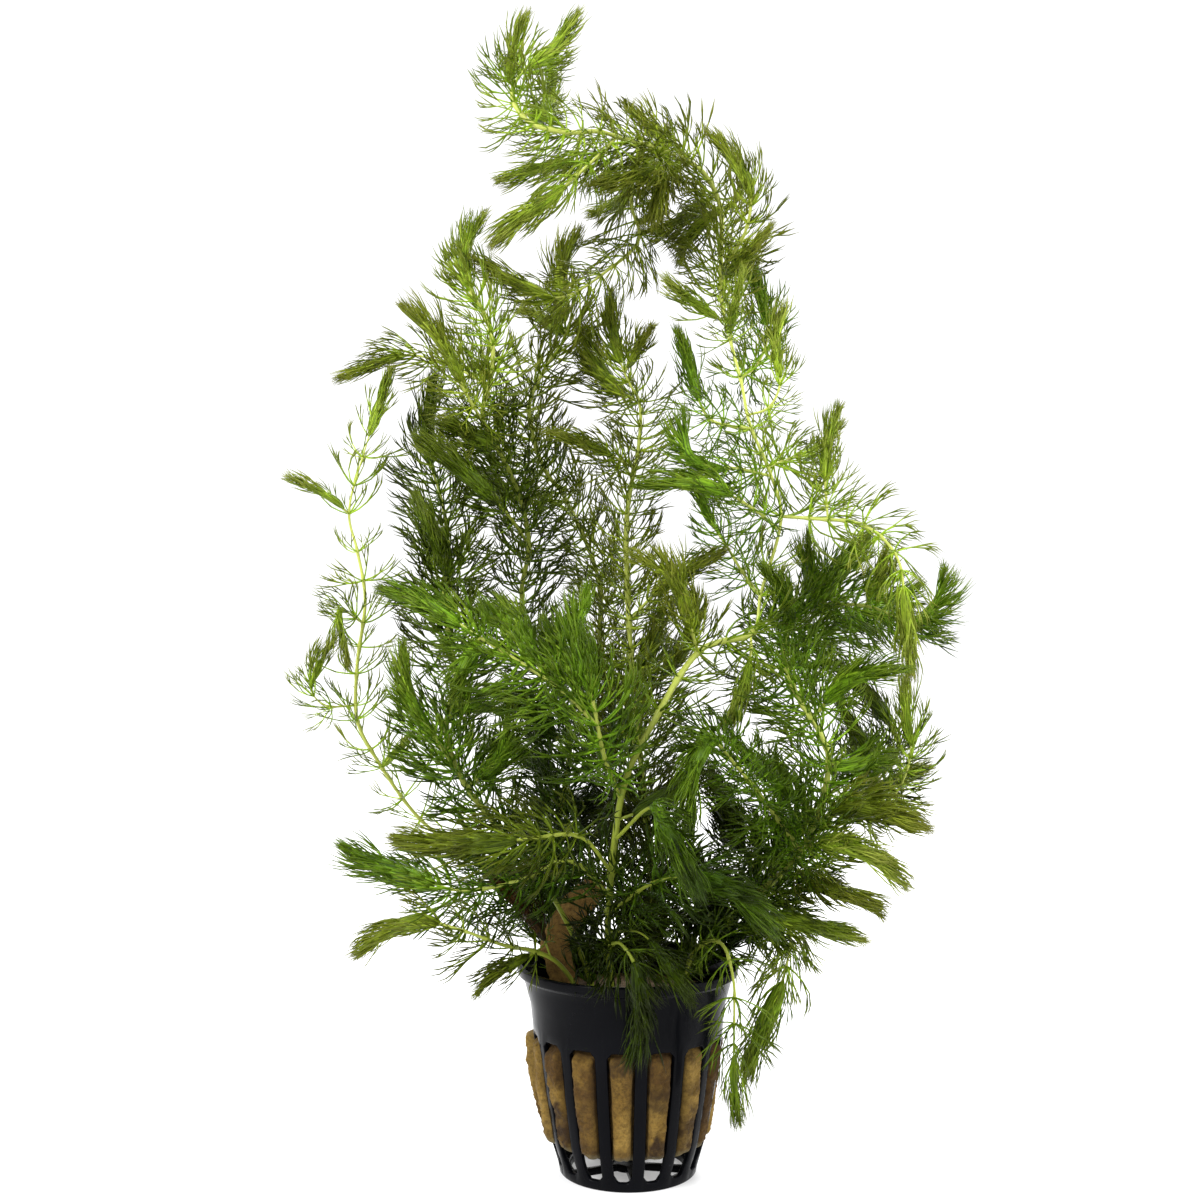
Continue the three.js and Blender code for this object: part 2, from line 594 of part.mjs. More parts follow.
// A strip that keeps its flat side to the front along its whole route.
function toFlatStrip(points, section) {
  const across = new THREE.Vector3(0, 1, 0);
  const curve = curveThrough(points);
  const corners = section.getPoints();
  const steps = 8;
  const positions = [];
  const faces = [];
  for (let i = 0; i <= steps; i += 1) {
    const centre = curve.getPointAt(i / steps);
    const along = curve.getTangentAt(i / steps);
    const side = new THREE.Vector3().crossVectors(across, along).normalize();
    for (const { x, y } of corners) {
      positions.push(centre.clone().addScaledVector(across, x).addScaledVector(side, y).toArray());
    }
  }
  const count = corners.length;
  for (let i = 0; i < steps; i += 1) {
    for (let k = 0; k < count; k += 1) {
      const [a, b] = [i * count + k, i * count + ((k + 1) % count)];
      faces.push([a, b + count, b], [a, a + count, b + count]);
    }
  }
  const end = steps * count;
  faces.push([0, 1, 2], [0, 2, 3], [end, end + 2, end + 1], [end, end + 3, end + 2]);
  return meshGeometry(positions, faces);
}

// ---- shoots -----------------------------------------------------------------------------
// Every stem and leaf laid so far, as straight pieces with a thickness, to keep leaves clear.
const laid = [];

function gapBetween(a, b) {
  const ray = new THREE.Ray(a.start, a.end.clone().sub(a.start).normalize());
  const length = a.start.distanceTo(a.end);
  const onRay = new THREE.Vector3();
  const onOther = new THREE.Vector3();
  ray.distanceSqToSegment(b.start, b.end, onRay, onOther);
  if (onRay.distanceTo(a.start) > length) {
    const other = new THREE.Line3(b.start, b.end);
    other.closestPointToPoint(a.end, true, onOther);
    return onOther.distanceTo(a.end) - b.radius;
  }
  return onRay.distanceTo(onOther) - b.radius;
}

function isClear(leaf, owner, band) {
  return laid.every((other) => {
    const reach = leafLength * 2.2;
    if (other.start.distanceTo(leaf.start) > reach) return true;
    if (other.owner === owner && Math.abs(other.band - band) < 1.5) return true;
    return gapBetween(leaf, other) > leafClearance;
  });
}

function edgeCrosses(start, end, [a, b, c]) {
  const ray = new THREE.Ray(start, end.clone().sub(start).normalize());
  const hit = ray.intersectTriangle(a, b, c, false, new THREE.Vector3());
  return hit !== null && hit.distanceTo(start) < start.distanceTo(end);
}

function facesCross(one, other) {
  return [[one, other], [other, one]].some(([edged, face]) => edged.corners.some((index, k) => {
    const next = (k + 1) % 3;
    if (face.corners.includes(index) || face.corners.includes(edged.corners[next])) return false;
    return edgeCrosses(edged.points[k], edged.points[next], face.points);
  }));
}

// Leaves with a side that passes through an earlier face of their shoot.
function crossedLeaves(faces) {
  const crossed = new Set();
  faces.forEach((face, i) => faces.slice(0, i).forEach((other) => {
    if (face.leaf === other.leaf || crossed.has(face.leaf) || crossed.has(other.leaf)) return;
    if (face.box.intersectsBox(other.box) && facesCross(face, other)) crossed.add(face.leaf);
  }));
  return crossed;
}

// Stations along a shoot: { s, radius, whorl } where a whorl's leaves grow from the band
// between this station and the next.
function stationsOf(shoot, length) {
  const rooted = !shoot.from && !shoot.fused;
  const bare = rooted ? rootLength : forkLength;
  const bodyEnd = shoot.brush ? length - Math.min(tipLength, length * 0.75) : length - pieceEnd;
  const stations = [0, ...(rooted ? [0.35, 0.65] : [])].map((share) => {
    return { s: share * bare, radius: shoot.radius };
  });
  const room = bodyEnd - bare;
  const whorls = Math.max(0, Math.round(room / whorlSpacing));
  for (let i = 0; i < whorls; i += 1) {
    const s = bare + (room * (i + 0.5)) / whorls;
    const radius = shoot.radius * (1 - (shoot.brush ? 0.3 : 0.1) * (s / length));
    stations.push({ s: s - whorlHeight / 2, radius, leaf: leafLength, lean: whorlLean });
    stations.push({ s: s + whorlHeight / 2, radius });
  }
  if (!shoot.brush) return [...stations, { s: length, radius: shoot.radius * 0.9 }];
  const tip = length - bodyEnd;
  for (const [share, swell] of tipBands) {
    const leaf = tipLeaf * (shoot.brush / 8) * (1 - 0.25 * share);
    const radius = shoot.brush * tipBody * swell;
    stations.push({ s: bodyEnd + tip * share, radius, leaf, lean: tipLean });
  }
  stations.at(-1).leaf = 0;
  return [...stations, { s: length, radius: 0 }];
}

function framesAlong(curve, length, stations) {
  const { x, y, z } = curve.getTangentAt(0);
  const normal = new THREE.Vector3(z, x, y);
  let reached = 0;
  return stations.map(({ s, radius }) => {
    const share = Math.min(1, s / length);
    const centre = curve.getPointAt(share);
    const along = new THREE.Vector3();
    for (let step = 1; step <= turnSteps; step += 1) {
      curve.getTangentAt(THREE.MathUtils.lerp(reached, share, step / turnSteps), along);
      normal.addScaledVector(along, -normal.dot(along)).normalize();
    }
    reached = share;
    const second = new THREE.Vector3().crossVectors(along, normal);
    return { centre, along, first: normal.clone(), second, radius };
  });
}

function ringPoint(frame, turn) {
  return frame.centre.clone()
    .addScaledVector(frame.first, frame.radius * Math.cos(turn))
    .addScaledVector(frame.second, frame.radius * Math.sin(turn));
}

class ShootBuilder {
  constructor(name, shoot, curve) {
    Object.assign(this, { name, shoot, curve, positions: [], faces: [], leaves: [] });
    this.length = curve.getLength();
    this.sides = shoot.radius >= 0.75 ? 4 : 3;
    const seed = [...name].reduce((sum, letter) => sum * 31 + letter.charCodeAt(0), 7);
    this.random = numberStream(seed % 99991);
    this.stations = stationsOf(shoot, this.length);
    this.frames = framesAlong(curve, this.length, this.stations);
    this.layStem();
  }

  layStem() {
    this.frames.slice(1).forEach((frame, i) => {
      const before = this.frames[i];
      const radius = Math.max(frame.radius, before.radius);
      laid.push({ start: before.centre, end: frame.centre, radius, owner: this.name, band: i });
    });
  }

  addPoint(point) {
    this.positions.push(point.toArray());
    return this.positions.length - 1;
  }

  // One triangle of the stem, raised to a pointed leaf where there is room for it.
  addFace(corners, band, wanted) {
    const points = corners.map((index) => vector(this.positions[index]));
    const root = points[0].clone().add(points[1]).add(points[2]).divideScalar(3);
    const { centre, along } = this.frames[band];
    const outward = root.clone().sub(centre);
    outward.addScaledVector(along, -outward.dot(along)).normalize();
    const { leaf, lean } = this.stations[band];
    const direction = outward.addScaledVector(along, lean + 0.25 * this.random());
    direction.z -= leafSag;
    direction.normalize();
    const size = leaf * (0.85 + 0.3 * this.random());
    const fit = wanted && shortenings.find((share) => {
      const end = root.clone().addScaledVector(direction, size * share);
      return isClear({ start: root, end }, this.name, band);
    });
    if (!fit) {
      this.faces.push(corners);
      return;
    }
    const tip = root.clone().addScaledVector(direction, size * fit);
    laid.push({ start: root, end: tip, radius: 0.1, owner: this.name, band });
    this.leaves.push({ corners, apex: this.addPoint(tip) });
  }

  addBand(lower, upper, band) {
    const { leaf, lean } = this.stations[band];
    for (let k = 0; k < this.sides; k += 1) {
      const next = (k + 1) % this.sides;
      const quad = [[lower[k], lower[next], upper[next]], [lower[k], upper[next], upper[k]]];
      quad.forEach((corners, half) => {
        if (!leaf) this.faces.push(corners);
        else this.addFace(corners, band, lean !== tipLean || half === (band + k) % 2);
      });
    }
  }

  build() {
    const step = (2 * Math.PI) / this.sides;
    const turns = Array.from({ length: this.sides }, (_, k) => step * (k + 0.5));
    const ringed = this.frames.slice(0, this.shoot.brush ? -1 : undefined);
    const rings = ringed.map((frame) => turns.map((turn) => this.addPoint(ringPoint(frame, turn))));
    rings.slice(1).forEach((ring, band) => this.addBand(rings[band], ring, band));
    this.closeEnd(rings[0], true);
    if (this.shoot.brush) this.closeTip(rings.at(-1));
    else this.closeEnd(rings.at(-1), false);
    return meshGeometry(this.positions, this.clearFaces());
  }

  // Every face, with a leaf laid flat again where it would pass through another face.
  clearFaces() {
    const flat = new Set();
    for (;;) {
      const faces = this.faces.map((corners) => this.face(corners, null));
      for (const leaf of this.leaves) {
        const [a, b, c] = leaf.corners;
        const sides = [[a, b], [b, c], [c, a]].map((edge) => [...edge, leaf.apex]);
        if (flat.has(leaf)) faces.unshift(this.face(leaf.corners, null));
        else faces.push(...sides.map((corners) => this.face(corners, leaf)));
      }
      const crossed = crossedLeaves(faces);
      if (!crossed.size) return faces.map(({ corners }) => corners);
      crossed.forEach((leaf) => flat.add(leaf));
    }
  }

  face(corners, leaf) {
    const points = corners.map((index) => vector(this.positions[index]));
    return { corners, leaf, points, box: new THREE.Box3().setFromPoints(points) };
  }

  closeEnd(ring, reversed) {
    for (let k = 1; k < this.sides - 1; k += 1) {
      this.faces.push(reversed ? [ring[0], ring[k + 1], ring[k]] : [ring[0], ring[k], ring[k + 1]]);
    }
  }

  closeTip(ring) {
    const apex = this.addPoint(this.frames.at(-1).centre);
    ring.forEach((index, k) => this.faces.push([index, ring[(k + 1) % this.sides], apex]));
  }
}

// The middle of a stem at a share of its length, on the straight piece between two stations.
function middleAt({ stations, frames, length }, share) {
  const s = share * length;
  const next = Math.max(1, stations.findIndex((station) => station.s >= s - 1e-6));
  const before = stations[next - 1].s;
  const part = (s - before) / (stations[next].s - before);
  return frames[next - 1].centre.clone().lerp(frames[next].centre, part);
}

// The curve of a shoot, started clear of its parent's surface, or on its axis when fused.
function startedClear(shoot, parent) {
  const points = shoot.route.map(vector);
  if (!parent) return curveThrough(points);
  const fork = middleAt(parent, shoot.at);
  if (shoot.fused) return curveThrough([fork, ...points]);
  const along = parent.curve.getTangentAt(shoot.at);
  if (shoot.at === 1) {
    const straight = [gap + 0.1, gap + 2.5].map((step) => fork.clone().addScaledVector(along, step));
    return curveThrough([...straight, ...points]);
  }
  const outward = points[0].clone().sub(fork);
  outward.addScaledVector(along, -outward.dot(along)).normalize();
  fork.addScaledVector(outward, parent.shoot.radius + gap + 0.8 * shoot.radius);
  return curveThrough([fork, ...points]);
}

function buildShoots() {
  const builders = {};
  for (const [name, shoot] of Object.entries(shoots)) {
    const builder = new ShootBuilder(name, shoot, startedClear(shoot, builders[shoot.from]));
    builder.buds = (shoot.buds ?? []).map((bud, i) => {
      const fused = { ...bud, fused: true };
      return new ShootBuilder(`${name}_bud_${i + 1}`, fused, startedClear(fused, builder));
    });
    builders[name] = builder;
  }
  return Object.entries(builders).map(([name, builder]) => {
    const geometry = builder.build();
    if (!builder.buds.length) return makeMesh(name, geometry, builder.shoot.finish);
    const buds = builder.buds.map((bud) => toSolid(bud.build()));
    const joined = buds.reduce((solid, bud) => solid.add(bud), toSolid(geometry));
    return makeMesh(name, toGeometry(joined), builder.shoot.finish);
  });
}

// ---- the whole plant --------------------------------------------------------------------
const rooted = Object.values(shoots).filter(({ from }) => !from)
  .map(({ route, radius }) => ({ route: route.map(vector), radius }));
const plant = new THREE.Group();
plant.add(makeMesh('net_pot', netPot(), 'pot'));
plant.add(makeMesh('rockwool_plug', rockwoolPlug(rooted), 'wool'));
plant.add(makeMesh('wool_strip', woolStrip(), 'strip'));
plant.add(...buildShoots());

export default plant;
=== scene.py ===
"""Potted hornwort: wet plastic net pot, bulging rockwool, and limp stems with forked leaves.

Lengths in the tables are millimetres and become metres through MM where meshes are made.
"""

import json
import math
import random

import bmesh
import bpy
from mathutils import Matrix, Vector, noise

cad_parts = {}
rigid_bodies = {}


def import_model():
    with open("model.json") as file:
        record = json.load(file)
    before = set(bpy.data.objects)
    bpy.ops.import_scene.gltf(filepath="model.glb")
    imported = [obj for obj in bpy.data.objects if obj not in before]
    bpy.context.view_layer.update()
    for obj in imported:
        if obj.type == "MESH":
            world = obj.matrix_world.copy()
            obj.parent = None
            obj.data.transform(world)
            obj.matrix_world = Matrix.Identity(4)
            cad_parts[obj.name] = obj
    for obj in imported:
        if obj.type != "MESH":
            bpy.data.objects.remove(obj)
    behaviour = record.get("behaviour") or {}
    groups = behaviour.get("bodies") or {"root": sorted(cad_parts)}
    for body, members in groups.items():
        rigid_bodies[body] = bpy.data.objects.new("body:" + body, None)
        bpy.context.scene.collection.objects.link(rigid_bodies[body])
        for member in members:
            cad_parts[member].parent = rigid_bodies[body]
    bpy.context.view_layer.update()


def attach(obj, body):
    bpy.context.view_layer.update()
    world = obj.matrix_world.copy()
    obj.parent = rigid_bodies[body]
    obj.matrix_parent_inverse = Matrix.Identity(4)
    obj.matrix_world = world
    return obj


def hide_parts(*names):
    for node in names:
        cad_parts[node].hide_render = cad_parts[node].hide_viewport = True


MM = 0.001

# ---- driving sizes, in millimetres --------------------------------------------------------
CAMERA_PLACE = (-6.9, -400.0, 140.6)
CAMERA_LENS = 48.5

POT_WALL = 1.3
SLOTS = 15
SLOT_PHASE = -95.0  # degrees, a slot just left of the front
SLOT_BOTTOM = 2.2
SLOT_TOP = 34.5
RIB_WIDTH = 3.0
SLOT_CORNER = 1.3
POT_OUTSIDE = [  # radius and height, from the foot to the top of the rim
    (16.8, 0.0), (17.3, 2.4), (19.6, 10.0), (21.7, 22.0), (23.2, 33.5), (24.1, 41.6),
    (25.4, 46.3), (26.0, 48.2), (27.2, 48.8), (27.5, 51.0),
]
BASE_THICKNESS = 1.6
HUB_RADIUS = 3.5
WINDOW_REACH = 14.0  # radius where the base's windows end
FOOT_RADIUS = 16.7
SPOKES = 5
SPOKE_WIDTH = 1.8

PLUG_BOTTOM = 7.6
PLUG_TOP = 43.0
FULL_SLOT = 11  # the slot on the left, where the wool stands out furthest
FULL_BULGE = 3.4
FULL_HEIGHT = 24.0  # of the middle of that bulge
FULL_HALF = 21.0

LEAF_LENGTH = 13.0
STEM_SLIMNESS = 0.62  # of the radius in the table, on its ridges
LEAF_SPACING = 5.0  # between whorls on the older stem
TIP_SPACING = 1.9  # between whorls at a growing tip
OPEN_LEAVES = 10  # in an open whorl
CLOSED_LEAVES = 12  # in a whorl of a closed tip
HEART_CROWDING = 0.45  # how much closer the whorls stand low in the middle, at the back
PAINTED_HEART_SHADE = 0.4  # painted shade: how much darker leaves and stalks are made low in the middle of the clump
STALK_LIFT = 0.25  # how much paler a stalk is than its leaves
STEM_STEP = 1.4
STEM_SIDES = 8

# ---- the shoots -----------------------------------------------------------------------------
# Each route runs from the root or fork to the tip. "from" and "at" name the stem that a shoot
# grows on and how far along it. "radius" is the stem's, which "thick" overrides, and "brush" the
# width of its tip. "spacing" is between open whorls, of as many "leaves", each "leaf" long.
SHOOTS = {
    "tall_stem_lower": {
        "radius": 1.2, "tone": "stalk", "spacing": 9, "leaf": 14, "thick": 1.3,
        "route": [(-4, -8, 36), (-4, -8, 45), (-5, -13, 58), (-4, -28, 81), (-1, -33, 100),
            (5, -30, 112), (17, -20, 129), (30, -12, 133)],
        "buds": [
            {
                "at": 0.22, "radius": 0.5, "brush": 5,
                "route": [(3, -30, 64), (8, -36, 59), (13, -36, 51)],
            },
            {
                "at": 0.49, "radius": 0.6, "brush": 9, "tone": "dark", "spacing": 3, "leaf": 15,
                "route": [(3, -33, 93), (8, -35, 96), (12, -36, 100), (14, -36, 105)],
            },
            {
                "at": 0.99, "radius": 0.5, "brush": 5, "tone": "bright", "spacing": 5, "leaf": 12,
                "route": [(29, -16, 129), (28, -18, 124), (26, -19, 118), (22, -19, 112)],
            },
        ],
    },
    "tall_stem_middle": {
        "from": "tall_stem_lower", "at": 1, "radius": 1, "tone": "bright", "spacing": 10,
        "leaf": 12, "leaves": 9, "thick": 0.65,
        "route": [(32, -9, 142), (37, -8, 161), (34, -9, 172), (29, -12, 183), (27, -12, 193),
            (23, -6, 212)],
        "buds": [
            {
                "at": 0.66, "radius": 0.5, "brush": 5,
                "route": [(33, -21, 186), (35, -24, 191), (34, -24, 199), (36, -21, 208)],
            },
            {"at": 0.89, "radius": 0.5, "brush": 5, "route": [(24, -24, 207), (26, -27, 215)]},
            {"at": 0.95, "radius": 0.5, "brush": 5, "route": [(17, -12, 211), (10, -15, 216)]},
        ],
    },
    "tall_stem_arch": {
        "from": "tall_stem_middle", "at": 1, "radius": 0.9, "tone": "olive", "spacing": 3.3,
        "leaf": 14,
        "route": [(23, 0, 226), (23, 3, 239), (18, 0, 247), (8, -4, 251), (-1, -9, 252),
            (-7, -12, 253)],
        "buds": [
            {"at": 0.12, "radius": 0.5, "brush": 6, "route": [(27, -20, 221), (32, -22, 227)]},
            {
                "at": 0.47, "radius": 0.5, "brush": 7,
                "route": [(18, 18, 242), (13, 21, 239), (6, 22, 237)],
            },
            {"at": 0.62, "radius": 0.5, "brush": 7, "route": [(10, 10, 257), (1, 14, 267)]},
            {"at": 0.74, "radius": 0.5, "brush": 7, "route": [(4, -18, 242), (-7, -22, 238)]},
            {
                "at": 0.73, "radius": 0.5, "brush": 8, "spacing": 3, "leaf": 12,
                "route": [(8, -9, 243), (7, -12, 237), (4, -13, 232)],
            },
            {
                "at": 0.41, "radius": 0.5, "brush": 7, "spacing": 3, "leaf": 12,
                "route": [(18, 8, 235), (16, 11, 232), (14, 12, 228)],
            },
        ],
    },
    "tall_stem_tip": {
        "from": "tall_stem_arch", "at": 1, "radius": 0.9, "brush": 7, "tone": "bright",
        "spacing": 3.6, "leaf": 14,
        "route": [(-15, -15, 252), (-23, -15, 254), (-28, -12, 261), (-26, -9, 268), (-20, -4, 274),
            (-13, 0, 285)],
        "buds": [
            {"at": 0.36, "radius": 0.6, "brush": 9, "route": [(-20, 0, 262), (-19, 6, 274)]},
            {"at": 0.52, "radius": 0.5, "brush": 5, "route": [(-28, -21, 266), (-25, -22, 276)]},
        ],
    },
    "arch_shoot_right": {
        "from": "tall_stem_arch", "at": 0.17, "radius": 0.6, "brush": 7, "tone": "olive",
        "route": [(28, -10, 229), (29, -14, 238), (25, -10, 247), (20, -8, 253)],
    },
    "arch_shoot_hanging": {
        "from": "tall_stem_arch", "at": 0.83, "radius": 0.7, "brush": 7, "tone": "olive",
        "spacing": 4, "leaf": 13,
        "route": [(1, 9, 241), (3, 9, 232), (-6, 8, 223), (-17, 3, 216), (-26, -2, 218),
            (-36, -6, 223)],
        "buds": [
            {"at": 0.15, "radius": 0.5, "brush": 7, "route": [(-1, 21, 245), (-8, 26, 243)]},
        ],
    },
    "arch_shoot_left_high": {
        "from": "tall_stem_tip", "at": 0.08, "radius": 0.6, "brush": 6, "tone": "bright",
        "route": [(-14, -6, 248), (-20, -3, 247), (-31, 0, 245)],
    },
    "arch_shoot_left_low": {
        "from": "tall_stem_arch", "at": 0.93, "radius": 0.6, "brush": 7, "tone": "bright",
        "route": [(-9, -18, 244), (-16, -21, 237), (-24, -21, 231), (-31, -21, 225)],
    },
    "tall_shoot_right_inner": {
        "from": "tall_stem_middle", "at": 0.77, "radius": 0.6, "brush": 6, "tone": "green",
        "route": [(32, 0, 199), (35, 6, 206), (34, 9, 216), (30, 12, 227)],
    },
    "tall_shoot_left_high": {
        "from": "tall_stem_middle", "at": 0.62, "radius": 0.6, "brush": 6, "tone": "green",
        "route": [(21, -6, 184), (18, 0, 189), (16, 3, 197), (13, 6, 207)],
    },
    "tall_shoot_left_middle": {
        "from": "tall_stem_middle", "at": 0.47, "radius": 0.6, "brush": 7, "tone": "green",
        "route": [(25, -15, 172), (18, -18, 172), (14, -18, 175), (13, -15, 185)],
    },
    "tall_shoot_left_low": {
        "from": "tall_stem_middle", "at": 0.31, "radius": 0.6, "brush": 8, "tone": "green",
        "route": [(30, -15, 162), (22, -21, 166), (15, -21, 168), (3, -18, 168)],
    },
    "tall_shoot_left_rising": {
        "from": "tall_stem_middle", "at": 0.11, "radius": 0.6, "brush": 6, "tone": "green",
        "route": [(28, 0, 148), (25, 6, 154), (22, 9, 159), (19, 6, 165), (17, 0, 174)],
    },
    "tall_shoot_right_high": {
        "from": "tall_stem_middle", "at": 0.5, "radius": 0.6, "brush": 6, "tone": "bright",
        "route": [(41, 3, 176), (48, 12, 179), (54, 15, 185)],
    },
    "tall_shoot_right_hanging": {
        "from": "tall_stem_middle", "at": 0.35, "radius": 0.7, "brush": 6, "tone": "bright",
        "route": [(46, -12, 160), (54, -15, 159), (59, -18, 156), (63, -21, 150), (64, -24, 141),
            (65, -24, 125)],
        "buds": [
            {
                "at": 0.2, "radius": 0.5, "brush": 6,
                "route": [(48, -6, 170), (49, -3, 179), (52, 0, 187)],
            },
        ],
    },
    "tall_shoot_inner": {
        "from": "tall_stem_lower", "at": 0.86, "radius": 0.6, "brush": 8, "tone": "olive",
        "route": [(13, -30, 137), (10, -33, 145), (2, -33, 150)],
    },
    "front_shoot_upright": {
        "from": "tall_stem_lower", "at": 0.53, "radius": 0.7, "brush": 9, "tone": "green",
        "spacing": 2.8, "leaf": 16,
        "route": [(-6, -40, 106), (-8, -42, 116), (-10, -42, 126), (-12, -39, 133),
            (-10, -36, 142)],
        "buds": [
            {
                "at": 0.56, "radius": 0.5, "brush": 9, "spacing": 3, "leaf": 14,
                "route": [(-13, -38, 125), (-16, -34, 130), (-19, -32, 135)],
            },
        ],
    },
    "front_shoot_left": {
        "from": "front_shoot_upright", "at": 0.4, "radius": 0.7, "brush": 8, "tone": "green",
        "spacing": 2.8, "leaf": 16,
        "route": [(-16, -39, 121), (-24, -36, 126), (-34, -33, 132), (-47, -27, 140),
            (-57, -21, 143)],
        "buds": [
            {
                "at": 0.27, "radius": 0.6, "brush": 9, "spacing": 3, "leaf": 14,
                "route": [(-22, -32, 128), (-25, -28, 132), (-30, -24, 136), (-35, -22, 138)],
            },
            {
                "at": 0.55, "radius": 0.5, "brush": 8, "spacing": 3, "leaf": 13,
                "route": [(-36, -35, 128), (-38, -37, 124), (-39, -38, 120)],
            },
        ],
    },
    "front_brush_left": {
        "from": "tall_stem_lower", "at": 0.38, "radius": 0.7, "brush": 10, "tone": "olive",
        "spacing": 3.2, "leaf": 15,
        "route": [(-12, -39, 88), (-24, -45, 88), (-38, -44, 87), (-51, -42, 88)],
    },
    "front_shoot_right": {
        "from": "tall_stem_lower", "at": 0.27, "radius": 0.7, "brush": 9, "tone": "green",
        "spacing": 2.8, "leaf": 16,
        "route": [(7, -33, 77), (18, -37, 78), (32, -31, 66)],
    },
    "front_shoot_drooping": {
        "from": "tall_stem_lower", "at": 0.45, "radius": 0.7, "brush": 9, "tone": "green",
        "spacing": 2.9, "leaf": 16,
        "route": [(5, -45, 95), (8, -51, 90), (14, -46, 78)],
    },
    "rim_shoot_front": {
        "from": "tall_stem_lower", "at": 0.17, "radius": 0.7, "brush": 8, "tone": "dark",
        "spacing": 4, "leaf": 14,
        "route": [(-4, -26, 61), (-2, -31, 62), (1, -34, 58), (2, -34, 51), (2, -33, 44),
            (0, -32, 37)],
    },
    "long_shoot_left": {
        "from": "tall_stem_lower", "at": 0.32, "radius": 0.8, "brush": 10, "tone": "green",
        "spacing": 3, "leaf": 15,
        "route": [(-14, -24, 80), (-26, -23, 75), (-40, -18, 72), (-51, -12, 74), (-60, -8, 76),
            (-69, -4, 80)],
    },
    "right_stem_lower": {
        "radius": 1.1, "tone": "green", "spacing": 2.9, "leaf": 16,
        "route": [(14, 3, 36), (14.5, 3, 45), (19, 3, 54), (27, 4, 62), (39, 0, 74), (43, -9, 82),
            (47, -18, 104), (40, -15, 118)],
        "buds": [
            {
                "at": 0.69, "radius": 0.6, "brush": 8, "spacing": 3, "leaf": 14,
                "route": [(40, -7, 93), (36, -1, 97), (31, 3, 101), (27, 5, 106)],
            },
            {
                "at": 0.82, "radius": 0.5, "brush": 8, "spacing": 3, "leaf": 13,
                "route": [(52, -15, 101), (57, -14, 102), (62, -14, 102)],
            },
            {
                "at": 0.41, "radius": 0.6, "brush": 9, "tone": "dark", "spacing": 3, "leaf": 14,
                "route": [(38, 3, 77), (41, 7, 81), (46, 8, 86)],
            },
        ],
    },
    "right_stem_upper": {
        "from": "right_stem_lower", "at": 1, "radius": 1, "brush": 10, "tone": "green",
        "spacing": 2.5, "leaf": 16,
        "route": [(38, -6, 126), (41, 6, 134), (48, 12, 141), (56, 15, 150), (62, 18, 157)],
        "buds": [
            {"at": 0.41, "radius": 0.5, "brush": 8, "route": [(38, -9, 141), (32, -18, 148)]},
            {
                "at": 0.61, "radius": 0.5, "brush": 9, "spacing": 3, "leaf": 13,
                "route": [(47, 7, 145), (45, 4, 150), (45, 2, 156)],
            },
        ],
    },
    "right_shoot_tip": {
        "from": "right_stem_upper", "at": 0.6, "radius": 0.6, "brush": 7, "tone": "green",
        "spacing": 2.6, "leaf": 15,
        "route": [(60, 3, 139), (70, -6, 135), (74, -9, 139), (76, -9, 147)],
        "buds": [
            {
                "at": 0.33, "radius": 0.5, "brush": 8, "tone": "bright", "spacing": 3, "leaf": 12,
                "route": [(61, -1, 143), (62, -4, 147), (63, -5, 153)],
            },
        ],
    },
    "right_shoot_back": {
        "from": "right_stem_upper", "at": 0.25, "radius": 0.6, "brush": 9, "tone": "green",
        "spacing": 3.2, "leaf": 15,
        "route": [(53, 21, 132), (65, 27, 137), (77, 30, 144)],
    },
    "right_shoot_front": {
        "from": "right_stem_lower", "at": 0.93, "radius": 0.6, "brush": 9, "tone": "green",
        "spacing": 3.2, "leaf": 15,
        "route": [(49, -26, 121), (55, -33, 124), (62, -34, 125)],
    },
    "right_shoot_drooping": {
        "from": "right_stem_lower", "at": 0.56, "radius": 0.8, "brush": 9, "tone": "green",
        "spacing": 3, "leaf": 15,
        "route": [(32, -20, 93), (24, -30, 103), (18, -36, 109), (14, -42, 104), (13, -45, 92)],
    },
    "right_shoot_low_1": {
        "from": "right_stem_lower", "at": 0.66, "radius": 0.6, "brush": 9, "tone": "olive",
        "spacing": 3.2, "leaf": 15,
        "route": [(52, -18, 92), (59, -21, 91), (68, -21, 88)],
    },
    "right_shoot_low_2": {
        "from": "right_stem_lower", "at": 0.58, "radius": 0.6, "brush": 9, "tone": "bright",
        "spacing": 3.2, "leaf": 15,
        "route": [(48, -22, 84), (54, -26, 82), (62, -27, 76)],
    },
    "right_shoot_low_3": {
        "from": "right_stem_lower", "at": 0.49, "radius": 0.6, "brush": 8, "tone": "olive",
        "spacing": 3.2, "leaf": 15,
        "route": [(47, -12, 72), (53, -14, 70), (59, -15, 66)],
    },
    "right_shoot_low_4": {
        "from": "right_stem_lower", "at": 0.33, "radius": 0.6, "brush": 8, "tone": "bright",
        "spacing": 3.2, "leaf": 15,
        "route": [(35, -8, 64), (45, -10, 62), (55, -10, 59)],
    },
    "far_right_stem": {
        "radius": 1, "brush": 7, "tone": "dark", "spacing": 6, "leaf": 15,
        "route": [(14.5, 10, 36), (15, 10, 45), (20, 12, 54), (30, 17, 62), (44, 23, 75),
            (57, 22, 88), (66, 15, 96), (69, 12, 105), (63, 9, 114), (54, 6, 124)],
        "buds": [
            {"at": 0.72, "radius": 0.5, "brush": 6, "route": [(59, -6, 103), (50, -12, 117)]},
            {
                "at": 0.34, "radius": 0.6, "brush": 9, "spacing": 3, "leaf": 14,
                "route": [(29, 8, 78), (26, 2, 85), (23, -2, 92), (21, -4, 98)],
            },
            {
                "at": 0.23, "radius": 0.6, "brush": 9, "spacing": 3, "leaf": 14,
                "route": [(19, 1, 70), (16, -5, 76), (12, -9, 81)],
            },
            {
                "at": 0.67, "radius": 0.5, "brush": 8, "tone": "green", "spacing": 3, "leaf": 13,
